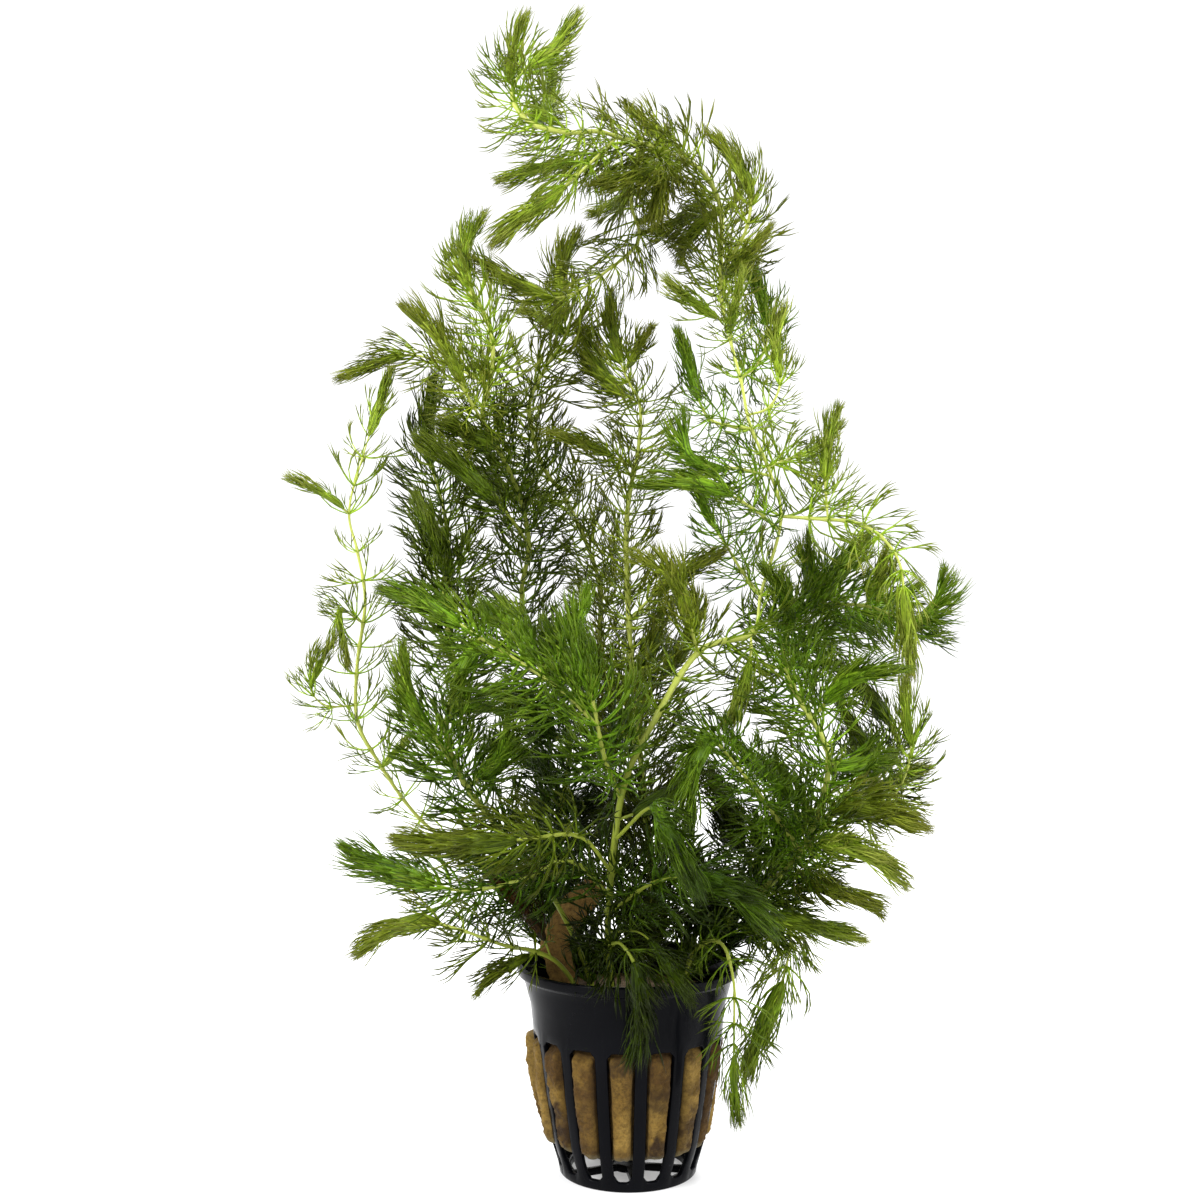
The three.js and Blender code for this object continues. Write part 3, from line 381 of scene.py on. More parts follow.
                "route": [(62, 24, 98), (61, 28, 103), (60, 30, 108)],
            },
        ],
    },
    "far_right_shoot_thin": {
        "from": "far_right_stem", "at": 0.6, "radius": 0.5, "brush": 5, "tone": "bright",
        "route": [(66, 9, 90), (69, 2, 97), (70, 0, 104), (69, 0, 111), (69, 0, 121)],
    },
    "far_right_shoot_back": {
        "from": "far_right_stem", "at": 0.56, "radius": 0.6, "brush": 8, "tone": "olive",
        "spacing": 3.2, "leaf": 15,
        "route": [(69, 33, 91), (81, 36, 95)],
    },
    "rim_shoot_right": {
        "from": "far_right_stem", "at": 0.3, "radius": 0.6, "brush": 9, "tone": "bright",
        "route": [(40, 0, 59), (37, -6, 46), (32, -9, 36), (28, -12, 26)],
    },
    "centre_stem_lower": {
        "radius": 1.1, "tone": "olive", "spacing": 2.8, "leaf": 16,
        "route": [(3, 2, 36), (3, 2, 45), (6, 5, 66), (5, 12, 84), (3, 15, 105), (1, 15, 128)],
        "buds": [
            {
                "at": 0.57, "radius": 0.6, "brush": 9, "tone": "dark", "spacing": 3, "leaf": 14,
                "route": [(-1, 25, 85), (-8, 33, 85), (-16, 39, 86), (-23, 43, 85)],
            },
            {
                "at": 0.92, "radius": 0.6, "brush": 9, "tone": "dark", "spacing": 3, "leaf": 13,
                "route": [(5, 21, 124), (7, 25, 130), (9, 27, 136), (9, 28, 142)],
            },
        ],
    },
    "centre_stem_upper": {
        "from": "centre_stem_lower", "at": 1, "radius": 1, "brush": 6, "tone": "olive",
        "spacing": 3.2, "leaf": 13,
        "route": [(0, 12, 146), (0, 9, 163), (3, 6, 181), (3, 6, 190), (0, 6, 196), (-3, 9, 205),
            (-4, 12, 218)],
        "buds": [
            {"at": 0.77, "radius": 0.5, "brush": 5, "route": [(5, -9, 206)]},
            {"at": 0.5, "radius": 0.5, "brush": 5, "route": [(-8, -3, 178), (-18, -6, 181)]},
            {
                "at": 0.68, "radius": 0.6, "brush": 10, "spacing": 3, "leaf": 14,
                "route": [(-1, 10, 193), (-6, 13, 198), (-9, 15, 204), (-12, 16, 211)],
            },
        ],
    },
    "centre_shoot_right": {
        "from": "centre_stem_upper", "at": 0.08, "radius": 0.6, "brush": 8, "tone": "olive",
        "route": [(8, 4, 143), (15, -3, 148), (22, -6, 152)],
    },
    "centre_shoot_back": {
        "from": "centre_stem_lower", "at": 0.83, "radius": 0.7, "brush": 9, "tone": "olive",
        "route": [(9, 27, 120), (16, 30, 130), (18, 33, 142)],
    },
    "olive_stem_lower": {
        "from": "centre_stem_lower", "at": 0.7, "radius": 0.9, "tone": "olive", "spacing": 3,
        "leaf": 15,
        "route": [(-4, 30, 114), (-7, 39, 130), (-7, 39, 145), (-17, 27, 169)],
    },
    "olive_stem_upper": {
        "from": "olive_stem_lower", "at": 1, "radius": 0.8, "brush": 9, "tone": "olive",
        "spacing": 2.9, "leaf": 15,
        "route": [(-21, 21, 174), (-24, 18, 182), (-25, 15, 191), (-21, 15, 200), (-16, 18, 209),
            (-17, 21, 218), (-17, 21, 226), (-13, 21, 236)],
        "buds": [
            {
                "at": 0.63, "radius": 0.5, "brush": 8, "spacing": 3, "leaf": 13,
                "route": [(-19, 22, 212), (-23, 24, 215), (-27, 25, 216)],
            },
        ],
    },
    "thin_stem_lower": {
        "radius": 0.8, "tone": "bright", "spacing": 8.5, "leaf": 13, "leaves": 7,
        "route": [(-15, 7, 36), (-15, 7, 45), (-21, 10, 54), (-40, 19, 74), (-52, 12, 84),
            (-62, 3, 100), (-67, 0, 111)],
        "buds": [
            {"at": 0.22, "radius": 0.5, "brush": 5, "route": [(-25, 1, 66), (-34, -1, 74)]},
            {"at": 0.86, "radius": 0.4, "brush": 4, "route": [(-55, -3, 106)]},
        ],
    },
    "thin_stem_upper": {
        "from": "thin_stem_lower", "at": 1, "radius": 0.7, "brush": 5, "tone": "bright",
        "spacing": 8, "leaf": 12, "leaves": 7,
        "route": [(-67, 0, 124), (-65, 0, 141), (-67, 0, 153), (-69, 0, 162), (-65, 0, 178),
            (-60, 6, 197)],
        "buds": [
            {
                "at": 0.04, "radius": 0.4, "brush": 3,
                "route": [(-74, -6, 115), (-77, -8, 119), (-72, -9, 130)],
            },
            {"at": 0.27, "radius": 0.4, "brush": 4, "route": [(-70, -8, 138), (-68, -10, 127)]},
            {"at": 0.58, "radius": 0.4, "brush": 4, "route": [(-72, -4, 165), (-81, -8, 170)]},
        ],
    },
    "bushy_stem_lower": {
        "radius": 1, "tone": "green", "spacing": 2.9, "leaf": 16,
        "route": [(-9, -2, 36), (-9, -2, 45), (-12, -4, 55), (-19, -10, 70), (-31, -15, 86),
            (-40, -21, 100), (-43, -21, 111), (-41, -18, 121)],
        "buds": [
            {
                "at": 0.73, "radius": 0.6, "brush": 9, "spacing": 3, "leaf": 14,
                "route": [(-34, -24, 100), (-30, -28, 104), (-28, -32, 111), (-28, -34, 116)],
            },
            {
                "at": 0.9, "radius": 0.5, "brush": 8, "spacing": 3, "leaf": 13,
                "route": [(-40, -15, 115), (-36, -11, 115), (-31, -9, 113)],
            },
        ],
    },
    "bushy_stem_upper": {
        "from": "bushy_stem_lower", "at": 1, "radius": 0.9, "brush": 8, "tone": "dark",
        "spacing": 2.8, "leaf": 16,
        "route": [(-43, -12, 131), (-45, -3, 143), (-45, 6, 153), (-47, 12, 165), (-51, 15, 179),
            (-50, 18, 197)],
        "buds": [
            {
                "at": 0.3, "radius": 0.6, "brush": 8,
                "route": [(-44, -15, 149), (-46, -21, 156), (-50, -22, 164)],
            },
        ],
    },
    "bushy_shoot_left": {
        "from": "bushy_stem_lower", "at": 0.76, "radius": 0.6, "brush": 7, "tone": "green",
        "spacing": 3.2, "leaf": 15,
        "route": [(-45, -27, 109), (-50, -30, 117), (-52, -30, 129)],
    },
    "back_stem_lower": {
        "radius": 1, "tone": "green", "spacing": 2.8, "leaf": 16,
        "route": [(-10, 13, 36), (-10, 13, 45), (-14, 16, 54), (-20, 24, 65), (-17, 33, 87),
            (-15, 30, 101), (-17, 24, 115)],
        "buds": [
            {
                "at": 0.83, "radius": 0.6, "brush": 9, "spacing": 3, "leaf": 14,
                "route": [(-20, 26, 106), (-25, 22, 111), (-30, 18, 115), (-35, 16, 117)],
            },
            {
                "at": 0.72, "radius": 0.6, "brush": 9, "tone": "dark", "spacing": 3, "leaf": 14,
                "route": [(-21, 37, 95), (-27, 41, 98), (-32, 43, 100), (-38, 45, 100)],
            },
        ],
    },
    "back_stem_middle": {
        "from": "back_stem_lower", "at": 1, "radius": 0.9, "tone": "dark", "spacing": 2.7,
        "leaf": 15,
        "route": [(-25, 18, 130), (-27, 15, 143), (-25, 12, 154), (-27, 9, 166), (-32, 3, 178),
            (-36, 0, 186)],
        "buds": [
            {
                "at": 0.87, "radius": 0.6, "brush": 10, "spacing": 3, "leaf": 15,
                "route": [(-36, -2, 180), (-41, -6, 182), (-45, -9, 183)],
            },
            {
                "at": 0.7, "radius": 0.6, "brush": 10, "spacing": 3, "leaf": 15,
                "route": [(-32, 14, 169), (-37, 17, 173), (-43, 19, 176)],
            },
        ],
    },
    "back_stem_upper": {
        "from": "back_stem_middle", "at": 1, "radius": 0.8, "brush": 7, "tone": "bright",
        "spacing": 3, "leaf": 15,
        "route": [(-34, -3, 194), (-33, -6, 202), (-35, -6, 210), (-39, -6, 217), (-40, -3, 226),
            (-36, 0, 235)],
    },
    "back_shoot_dark": {
        "from": "back_stem_middle", "at": 0.55, "radius": 0.6, "brush": 9, "tone": "dark",
        "route": [(-30, 0, 162), (-38, -6, 170), (-50, -12, 179)],
    },
    "back_shoot_high": {
        "from": "back_stem_middle", "at": 0.93, "radius": 0.6, "brush": 7, "tone": "olive",
        "route": [(-40, -15, 192), (-44, -18, 201), (-52, -18, 209)],
    },
    "back_shoot_reaching": {
        "from": "back_stem_upper", "at": 0.15, "radius": 0.6, "brush": 5, "tone": "olive",
        "route": [(-45, 9, 200), (-56, 12, 203), (-72, 12, 198)],
    },
    "short_stem_left": {
        "radius": 0.9, "brush": 8, "tone": "olive", "spacing": 6.5, "leaf": 14, "leaves": 8,
        "route": [(-12, -10, 36), (-12, -10, 45), (-17, -14, 54), (-23, -19, 58), (-29, -23, 60),
            (-39, -25, 64), (-47, -25, 66), (-55, -24, 64), (-63, -19, 58)],
        "buds": [
            {"at": 0.37, "radius": 0.4, "brush": 5, "route": [(-30, -27, 55), (-34, -28, 51)]},
            {
                "at": 0.3, "radius": 0.4, "brush": 5, "tone": "brown", "spacing": 4, "leaf": 9,
                "route": [(-21, -21, 63), (-25, -21, 68), (-30, -21, 73)],
            },
        ],
    },
    "trailing_stem": {
        "radius": 0.8, "brush": 4, "tone": "bright", "spacing": 7.5, "leaf": 12, "leaves": 8,
        "route": [(13, -9, 36), (13, -9, 45), (15, -12, 55), (19, -18, 60), (22, -25, 60),
            (24, -27, 52), (24, -28, 46), (24, -27, 31), (25, -26, 21)],
    },
}


# ---- paths ----------------------------------------------------------------------------------
ROUTE_STEPS = 16  # points of a line from one point of its route to the next
TANGENT_REACH = 0.6  # how far each way along a line its direction is taken


def through(points, before=None, after=None):
    """A smooth line of close points through the given ones, centripetal, in millimetres."""
    line = [Vector(p) for p in points]
    head = Vector(before) if before else 2 * line[0] - line[1]
    tail = Vector(after) if after else 2 * line[-1] - line[-2]
    knots = [head, *line, tail]
    out = []
    for i in range(1, len(knots) - 2):
        p0, p1, p2, p3 = knots[i - 1:i + 3]
        t0 = 0.0
        t1 = t0 + math.sqrt((p1 - p0).length)
        t2 = t1 + math.sqrt((p2 - p1).length)
        t3 = t2 + math.sqrt((p3 - p2).length)
        for k in range(ROUTE_STEPS):
            t = t1 + (t2 - t1) * k / ROUTE_STEPS
            a1 = p0.lerp(p1, (t - t0) / (t1 - t0))
            a2 = p1.lerp(p2, (t - t1) / (t2 - t1))
            a3 = p2.lerp(p3, (t - t2) / (t3 - t2))
            b1 = a1.lerp(a2, (t - t0) / (t2 - t0))
            b2 = a2.lerp(a3, (t - t1) / (t3 - t1))
            out.append(b1.lerp(b2, (t - t1) / (t2 - t1)))
    return out + [line[-1]]


class Path:
    """A line that can be asked for its point and direction at a distance along it."""

    def __init__(self, points):
        self.points = points
        self.reach = [0.0]
        for a, b in zip(points, points[1:]):
            self.reach.append(self.reach[-1] + (b - a).length)
        self.length = self.reach[-1]

    def at(self, s):
        s = min(max(s, 0.0), self.length)
        low, high = 0, len(self.points) - 1
        while high - low > 1:
            middle = (low + high) // 2
            if self.reach[middle] <= s:
                low = middle
            else:
                high = middle
        span = self.reach[high] - self.reach[low]
        part = (s - self.reach[low]) / span if span else 0.0
        return self.points[low].lerp(self.points[high], part)

    def along(self, s):
        return (self.at(s + TANGENT_REACH) - self.at(s - TANGENT_REACH)).normalized()


def smooth_step(low, high, value):
    t = min(max((value - low) / (high - low), 0.0), 1.0)
    return t * t * (3 - 2 * t)


# ---- nodes ----------------------------------------------------------------------------------
def feed(socket, value):
    """Links a value into a socket, or sets it where it is plain; a plain colour is opaque."""
    if isinstance(value, bpy.types.NodeSocket):
        socket.id_data.links.new(value, socket)
    elif socket.type == "RGBA":
        socket.default_value = (*value, 1)
    else:
        socket.default_value = value


def add(nodes, kind, inputs=None, **settings):
    """A new node with its settings made and its inputs, by name or number, fed."""
    node = nodes.new(kind)
    for key, value in settings.items():
        setattr(node, key, value)
    for key, value in (inputs or {}).items():
        feed(node.inputs[key], value)
    return node


def math_node(nodes, operation, *values, **settings):
    inputs = dict(enumerate(values))
    return add(nodes, "ShaderNodeMath", inputs, operation=operation, **settings).outputs[0]


def enabled(sockets, name):
    """The socket of a name that the node's present data type uses."""
    return next(s for s in sockets if s.enabled and s.name == name)


# ---- materials ------------------------------------------------------------------------------
# Each ramp is a list of stops: a place from 0 to 1 and a colour. The plant's go from an old, dark
# leaf to a fresh one.
GREENS = [
    (0.0, (0.02, 0.048, 0.002)), (0.25, (0.065, 0.14, 0.006)), (0.5, (0.16, 0.33, 0.014)),
    (0.75, (0.33, 0.55, 0.035)), (1.0, (0.58, 0.78, 0.1)),
]
OLIVES = [
    (0.0, (0.03, 0.04, 0.002)), (0.25, (0.095, 0.125, 0.007)), (0.5, (0.24, 0.3, 0.02)),
    (0.75, (0.42, 0.49, 0.045)), (1.0, (0.64, 0.7, 0.13)),
]
BROWNS = [(0.0, (0.03, 0.018, 0.003)), (0.5, (0.2, 0.08, 0.012)), (1.0, (0.4, 0.22, 0.05))]
STALKS = [(0.0, (0.08, 0.11, 0.012)), (0.5, (0.22, 0.27, 0.035)), (1.0, (0.45, 0.5, 0.12))]
# These multiply the plant's colours: from a leaf's foot to its point, and in a closed brush from
# painted shade in the gaps to a painted highlight on the leaves that lie on top.
FOOT_TO_POINT = [
    (0.0, (1.5, 1.45, 1.2)), (0.3, (1.05, 1.05, 1.0)), (0.6, (0.75, 0.7, 0.75)),
    (1.0, (0.42, 0.33, 0.45)),
]
GAP_SHADE_TO_LEAF_HIGHLIGHT = [(0.36, (0.3, 0.32, 0.25)), (0.52, (0.85, 0.87, 0.8)), (0.7, (1.4, 1.35, 1.2))]
# How much a leaf's age varies from one leaf to the next, over patches and over small spots, and
# its hue over patches.
AGE_BY_LEAF = 0.15
AGE_BY_PATCH = 0.4
AGE_BY_SPOT = 0.16
HUE_BY_PATCH = 0.5

POT_BLACKS = [(0.3, (0.0011, 0.0012, 0.0018)), (0.7, (0.0024, 0.0026, 0.0038))]

ROCKWOOL_TANS = [
    (0.2, (0.066, 0.034, 0.006)), (0.5, (0.145, 0.085, 0.015)), (0.85, (0.25, 0.16, 0.038)),
]
# The brown of water staining, also used as painted shade where the wool lies back behind the ribs.
ROCKWOOL_STAIN_AND_SHADE = (0.026, 0.0125, 0.003)
ROCKWOOL_FRINGE = (0.17, 0.15, 0.085)  # loose, dry fibres at the plug's lower edge
FRINGE_FULL = 0.6  # above the plug's underside
FRINGE_END = 2.2
STRIP_BROWNS = [(0.25, (0.22, 0.13, 0.035)), (0.75, (0.42, 0.27, 0.085))]
STRIP_STAIN = (0.14, 0.075, 0.022)
# From the dark between the fibres to the fibres, and how strongly damp spots and stains show.
FIBRES = [(0.32, (0.5, 0.46, 0.4)), (0.5, (1.0, 1.0, 1.0)), (0.7, (1.5, 1.45, 1.35))]
DAMP_SPOTS = [(0.56, (0.0, 0.0, 0.0)), (0.68, (0.75, 0.75, 0.75))]
STAIN_MOTTLE = [(0.3, (0.45, 0.45, 0.45)), (0.6, (1.1, 1.1, 1.1))]

SHEET_WHITE = (0.56, 0.56, 0.565)
SHEET_GLOW = 0.3


def new_material(name):
    material = bpy.data.materials.new(name)
    material.use_nodes = True
    nodes = material.node_tree.nodes
    return material, nodes, nodes["Principled BSDF"]


def coat(shader, colour, roughness, specular):
    feed(shader.inputs["Base Color"], colour)
    feed(shader.inputs["Roughness"], roughness)
    feed(shader.inputs["Specular IOR Level"], specular)


def roughen(nodes, shader, height, strength, distance):
    """Bumps a surface by a height that is `distance` metres deep."""
    inputs = {"Height": height, "Strength": strength, "Distance": distance}
    feed(shader.inputs["Normal"], add(nodes, "ShaderNodeBump", inputs).outputs["Normal"])


def ramp(nodes, factor, stops):
    """The colour of a ramp at a factor."""
    node = add(nodes, "ShaderNodeValToRGB", {"Fac": factor})
    elements = node.color_ramp.elements
    while len(elements) > 1:
        elements.remove(elements[-1])
    elements[0].position, elements[0].color = stops[0][0], (*stops[0][1], 1)
    for place, colour in stops[1:]:
        elements.new(place).color = (*colour, 1)
    return node.outputs["Color"]


def mix_colour(nodes, factor, first, second, blend="MIX"):
    inputs = {0: factor, 6: first, 7: second}  # by number, because their names are not unique
    return add(nodes, "ShaderNodeMix", inputs, data_type="RGBA", blend_type=blend).outputs[2]


def stored(nodes, name, output="Fac"):
    """A value that the mesh stores on its points."""
    return add(nodes, "ShaderNodeAttribute", attribute_name=name).outputs[output]


def noise_at(nodes, place, scale, detail, **more):
    inputs = {"Vector": place, "Scale": scale, "Detail": detail, **more}
    return add(nodes, "ShaderNodeTexNoise", inputs).outputs["Fac"]


def object_noise(nodes, scale, detail=4.0, roughness=0.55, stretch=None):
    """Noise that lies still on its piece, and `stretch` times as fine along each axis."""
    place = nodes.new("ShaderNodeTexCoord").outputs["Object"]
    if stretch:
        mapping = add(nodes, "ShaderNodeMapping", {"Vector": place, "Scale": stretch})
        place = mapping.outputs["Vector"]
    return noise_at(nodes, place, scale, detail, Roughness=roughness)


def plant_material(name, families, through_light, woven=False):
    """Wet tissue: darker with age and with painted shade, green, olive or brown by shoot, and paler
    where a leaf starts.

    `woven` draws the leaves that lie along a closed brush as fine streaks, with painted shade in
    the gaps between them and a painted highlight on those on top, from the place round it and along
    it that the mesh stores as "weave".
    """
    material, nodes, shader = new_material(name)

    def weighted(value, factor, onto):
        return math_node(nodes, "MULTIPLY_ADD", value, factor, onto)

    # The freshness kept on the mesh carries the painted shade of the clump's heart as well as age.
    age = weighted(stored(nodes, "tone"), AGE_BY_LEAF, stored(nodes, "fresh"))
    age = weighted(object_noise(nodes, 70.0, detail=3.0), AGE_BY_PATCH, age)
    age = weighted(object_noise(nodes, 900.0, detail=2.0), AGE_BY_SPOT, age)
    age = weighted(age, 1.0, -(AGE_BY_PATCH + AGE_BY_SPOT) / 2)
    shades = [ramp(nodes, age, stops) for stops in families]
    hue = weighted(object_noise(nodes, 60.0, detail=2.0), HUE_BY_PATCH, stored(nodes, "hue"))
    colour = shades[0]
    for step, shade in enumerate(shades[1:]):
        share = weighted(hue, 1.0, -HUE_BY_PATCH / 2 - step)
        clamped = add(nodes, "ShaderNodeClamp", {"Value": share}).outputs[0]
        colour = mix_colour(nodes, clamped, colour, shade)
    along = ramp(nodes, stored(nodes, "reach"), FOOT_TO_POINT)
    colour = mix_colour(nodes, 1.0, colour, along, "MULTIPLY")
    if woven:
        weave = stored(nodes, "weave", "Vector")
        streaks = noise_at(nodes, weave, 5.0, 2.5, Distortion=0.5)
        # Painted shade in the gaps between the brush's leaves and a painted highlight on the leaves
        # on top.
        colour = mix_colour(nodes, 1.0, colour, ramp(nodes, streaks, GAP_SHADE_TO_LEAF_HIGHLIGHT), "MULTIPLY")
        roughen(nodes, shader, streaks, strength=1.0, distance=0.0007)
    coat(shader, colour, roughness=0.3, specular=0.14)
    lit = add(nodes, "ShaderNodeBsdfTranslucent", {"Color": colour})
    parts = {0: through_light, 1: shader.outputs[0], 2: lit.outputs[0]}
    blend = add(nodes, "ShaderNodeMixShader", parts)
    feed(nodes["Material Output"].inputs["Surface"], blend.outputs[0])
    return material


def pot_material():
    """Black plastic, wet in smears that run down it."""
    material, nodes, shader = new_material("black wet plastic")
    colour = ramp(nodes, object_noise(nodes, 60.0, detail=5.0), POT_BLACKS)
    smears = object_noise(nodes, 140.0, detail=6.0, roughness=0.7, stretch=(1.0, 1.0, 0.35))
    gloss = add(nodes, "ShaderNodeMapRange", {"Value": smears, "To Min": 0.1, "To Max": 0.32})
    coat(shader, colour, gloss.outputs["Result"], specular=0.05)
    pores = object_noise(nodes, 220.0, detail=2.0)
    roughen(nodes, shader, pores, strength=0.12, distance=0.0004)
    return material


def wool_material(name, stops, stain_and_shade, fringe=None):
    """Damp mineral wool: tan fibres, stained brown where water has stood, and the same brown as
    painted shade where the plug's mesh marks it.
    """
    material, nodes, shader = new_material(name)
    clouds = object_noise(nodes, 150.0, detail=4.0, roughness=0.6)
    centred = math_node(nodes, "SUBTRACT", clouds, 0.35)
    shade = math_node(nodes, "MULTIPLY_ADD", stored(nodes, "tint"), 0.7, centred)
    grain = object_noise(nodes, 1300.0, detail=6.0, roughness=0.75)
    fibres = ramp(nodes, grain, FIBRES)
    colour = mix_colour(nodes, 1.0, ramp(nodes, shade, stops), fibres, "MULTIPLY")
    damp = object_noise(nodes, 130.0, detail=5.0, roughness=0.65)
    colour = mix_colour(nodes, ramp(nodes, damp, DAMP_SPOTS), colour, stain_and_shade)
    mottle = ramp(nodes, object_noise(nodes, 420.0, detail=3.0), STAIN_MOTTLE)
    # The value kept on the mesh holds real staining and painted shade behind the ribs, both in the
    # same brown.
    blotched = math_node(nodes, "MULTIPLY", stored(nodes, "stain_and_shade"), mottle, use_clamp=True)
    colour = mix_colour(nodes, blotched, colour, stain_and_shade)
    if fringe:
        place = nodes.new("ShaderNodeTexCoord").outputs["Object"]
        edge = add(nodes, "ShaderNodeMapRange", {
            "Value": add(nodes, "ShaderNodeSeparateXYZ", {0: place}).outputs["Z"],
            "From Min": (PLUG_BOTTOM + FRINGE_END) * MM,
            "From Max": (PLUG_BOTTOM + FRINGE_FULL) * MM,
            "To Max": 0.7,
        })
        colour = mix_colour(nodes, edge.outputs["Result"], colour, fringe)
    coat(shader, colour, roughness=0.8, specular=0.2)
    tufts = object_noise(nodes, 800.0, detail=8.0, roughness=0.75)
    roughen(nodes, shader, tufts, strength=1.0, distance=0.0008)
    return material


def floor_material():
    """A white sheet that glows a little, so that it stays white under the lights."""
    material, _, shader = new_material("white sheet")
    feed(shader.inputs["Base Color"], SHEET_WHITE)
    feed(shader.inputs["Roughness"], 0.6)
    feed(shader.inputs["Emission Color"], (1, 1, 1))
    feed(shader.inputs["Emission Strength"], SHEET_GLOW)
    return material


# ---- camera, light and floor ----------------------------------------------------------------
# Soft round lights: place and width in metres, and power in watts.
LIGHTS = {
    "window": ((-0.55, -0.55, 0.75), 0.5, 14),
    "fill": ((0.7, -0.35, 0.45), 0.6, 6),
    "back": ((0.1, 0.7, 0.6), 0.5, 7),
}
LIGHT_TARGET = (0, 0, 0.13)

# The sheet lies flat, bends up behind the pot and rises.
SHEET_FRONT = -900
SHEET_BACK = 1100
SHEET_HALF_WIDTH = 1600
SHEET_TOP = 1400
SHEET_BEND = 350
BEND_STEPS = 8


def placed(name, data):
    """A new object in the scene."""
    thing = bpy.data.objects.new(name, data)
    bpy.context.collection.objects.link(thing)
    return thing


def make_camera():
    data = bpy.data.cameras.new("camera")
    data.lens = CAMERA_LENS
    data.sensor_width = 36.0
    data.clip_start = 0.01
    camera = placed("camera", data)
    camera.location = Vector(CAMERA_PLACE) * MM
    camera.rotation_euler = (math.radians(90), 0, 0)
    bpy.context.scene.camera = camera


def soft_light(name, place, width, power):
    data = bpy.data.lights.new(name, "AREA")
    data.shape = "DISK"
    data.size = width
    data.energy = power
    light = placed(name, data)
    light.location = place
    aim = Vector(LIGHT_TARGET) - Vector(place)
    light.rotation_euler = aim.to_track_quat("-Z", "Y").to_euler()


def white_sheet():
    profile = [(SHEET_FRONT, 0), (SHEET_BACK - SHEET_BEND, 0)]
    for k in range(1, BEND_STEPS + 1):
        turn = math.radians(90 * k / BEND_STEPS)
        forward, up = math.sin(turn), 1 - math.cos(turn)
        profile.append((SHEET_BACK - SHEET_BEND + SHEET_BEND * forward, SHEET_BEND * up))
    profile.append((SHEET_BACK, SHEET_TOP))
    verts = [(x, y, z) for y, z in profile for x in (-SHEET_HALF_WIDTH, SHEET_HALF_WIDTH)]
    faces = [(2 * i, 2 * i + 1, 2 * i + 3, 2 * i + 2) for i in range(len(profile) - 1)]
    return mesh_object("floor", verts, faces, [floor_material()])


def make_studio():
    world = bpy.data.worlds.new("studio")
    world.use_nodes = True
    background = world.node_tree.nodes["Background"]
    feed(background.inputs["Color"], (1, 1, 1))
    feed(background.inputs["Strength"], 1.0)
    bpy.context.scene.world = world
    bpy.context.scene.view_settings.view_transform = "Standard"
    for name, (place, width, power) in LIGHTS.items():
        soft_light(name, place, width, power)
    white_sheet()


# ---- meshes ---------------------------------------------------------------------------------
def shade_smooth(mesh):
    mesh.polygons.foreach_set("use_smooth", [True] * len(mesh.polygons))


def mesh_object(name, verts, faces, materials=()):
    """A new smooth piece from points in millimetres."""
    mesh = bpy.data.meshes.new(name)
    mesh.from_pydata([Vector(v) * MM for v in verts], [], faces)
    shade_smooth(mesh)
    for material in materials:
        mesh.materials.append(material)
    return placed(name, mesh)


def ring_face(row, k, columns, first=0):
    """A face between a ring of points and the next, all numbered on from `first`."""
    a, b = first + row * columns + k, first + row * columns + (k + 1) % columns
    return a, b, b + columns, a + columns


def store(mesh, name, kind, values):
    """Keeps a value on each point of a mesh, for its material or the whorl tree to read."""
    data = mesh.attributes.new(name, kind, "POINT").data
    if kind == "FLOAT_VECTOR":
        data.foreach_set("vector", [c for v in values for c in v])
    else:
        data.foreach_set("value", values)


def applied(piece):
    """Turns a piece's modifiers into plain mesh."""
    graph = bpy.context.evaluated_depsgraph_get()
    mesh = bpy.data.meshes.new_from_object(piece.evaluated_get(graph))
    piece.modifiers.clear()
    piece.data = mesh


def faced_outward(piece):
    shape = bmesh.new()
    shape.from_mesh(piece.data)
    bmesh.ops.remove_doubles(shape, verts=shape.verts, dist=1e-7)
    bmesh.ops.recalc_face_normals(shape, faces=shape.faces)
    shape.to_mesh(piece.data)
    shape.free()


def profile_radius(profile, z):
    for (r0, z0), (r1, z1) in zip(profile, profile[1:]):
        if z <= z1:
            return r0 + (r1 - r0) * (z - z0) / (z1 - z0)
    return profile[-1][0]


# ---- net pot --------------------------------------------------------------------------------
RIB_COLUMNS = 3
SLOT_COLUMNS = 6
BASE_RINGS = [1.2, 2.4, HUB_RADIUS, 6.0, 9.0, 11.5, WINDOW_REACH, 15.0, FOOT_RADIUS]
SPOKE_COLUMNS = 2
WINDOW_COLUMNS = 16
SIDE_ROUNDING = 0.28
BASE_ROUNDING = 0.2
SHARP_EDGE = 38  # degrees; edges that turn by more are rounded


def slot_columns(radius):
    """(angle, place across the slot from -1 to 1 or None on a rib) round the pot, in radians."""
    pitch = 2 * math.pi / SLOTS
    rib_half = RIB_WIDTH / 2 / radius
    slot_half = pitch / 2 - rib_half
    for i in range(SLOTS):
        middle = math.radians(SLOT_PHASE) + i * pitch
        for k in range(SLOT_COLUMNS):
            across = -1 + 2 * k / SLOT_COLUMNS
            yield middle + across * slot_half, across
        for k in range(RIB_COLUMNS):
            yield middle + slot_half + 2 * rib_half * k / RIB_COLUMNS, (1.0 if k == 0 else None)


def corner_drop(across, half_width):
    """How far a slot's end is pulled in at its rounded corners."""
    if across is None:
        return 0.0
    over = abs(across) * half_width - (half_width - SLOT_CORNER)
    if over <= 0:
        return 0.0
    return SLOT_CORNER - math.sqrt(max(SLOT_CORNER ** 2 - over ** 2, 0.0))


def pot_levels():
    """Heights of the side's rings of points, none of them in a slot's rounded corners."""
    between = [6.0, 14.0, 18.0, 26.0, 30.0, 37.0]
    heights = {z for _, z in POT_OUTSIDE}.union(between)
    for end in (SLOT_BOTTOM, SLOT_TOP):
        heights = {z for z in heights if abs(z - end) > SLOT_CORNER} | {end}
    return sorted(heights)


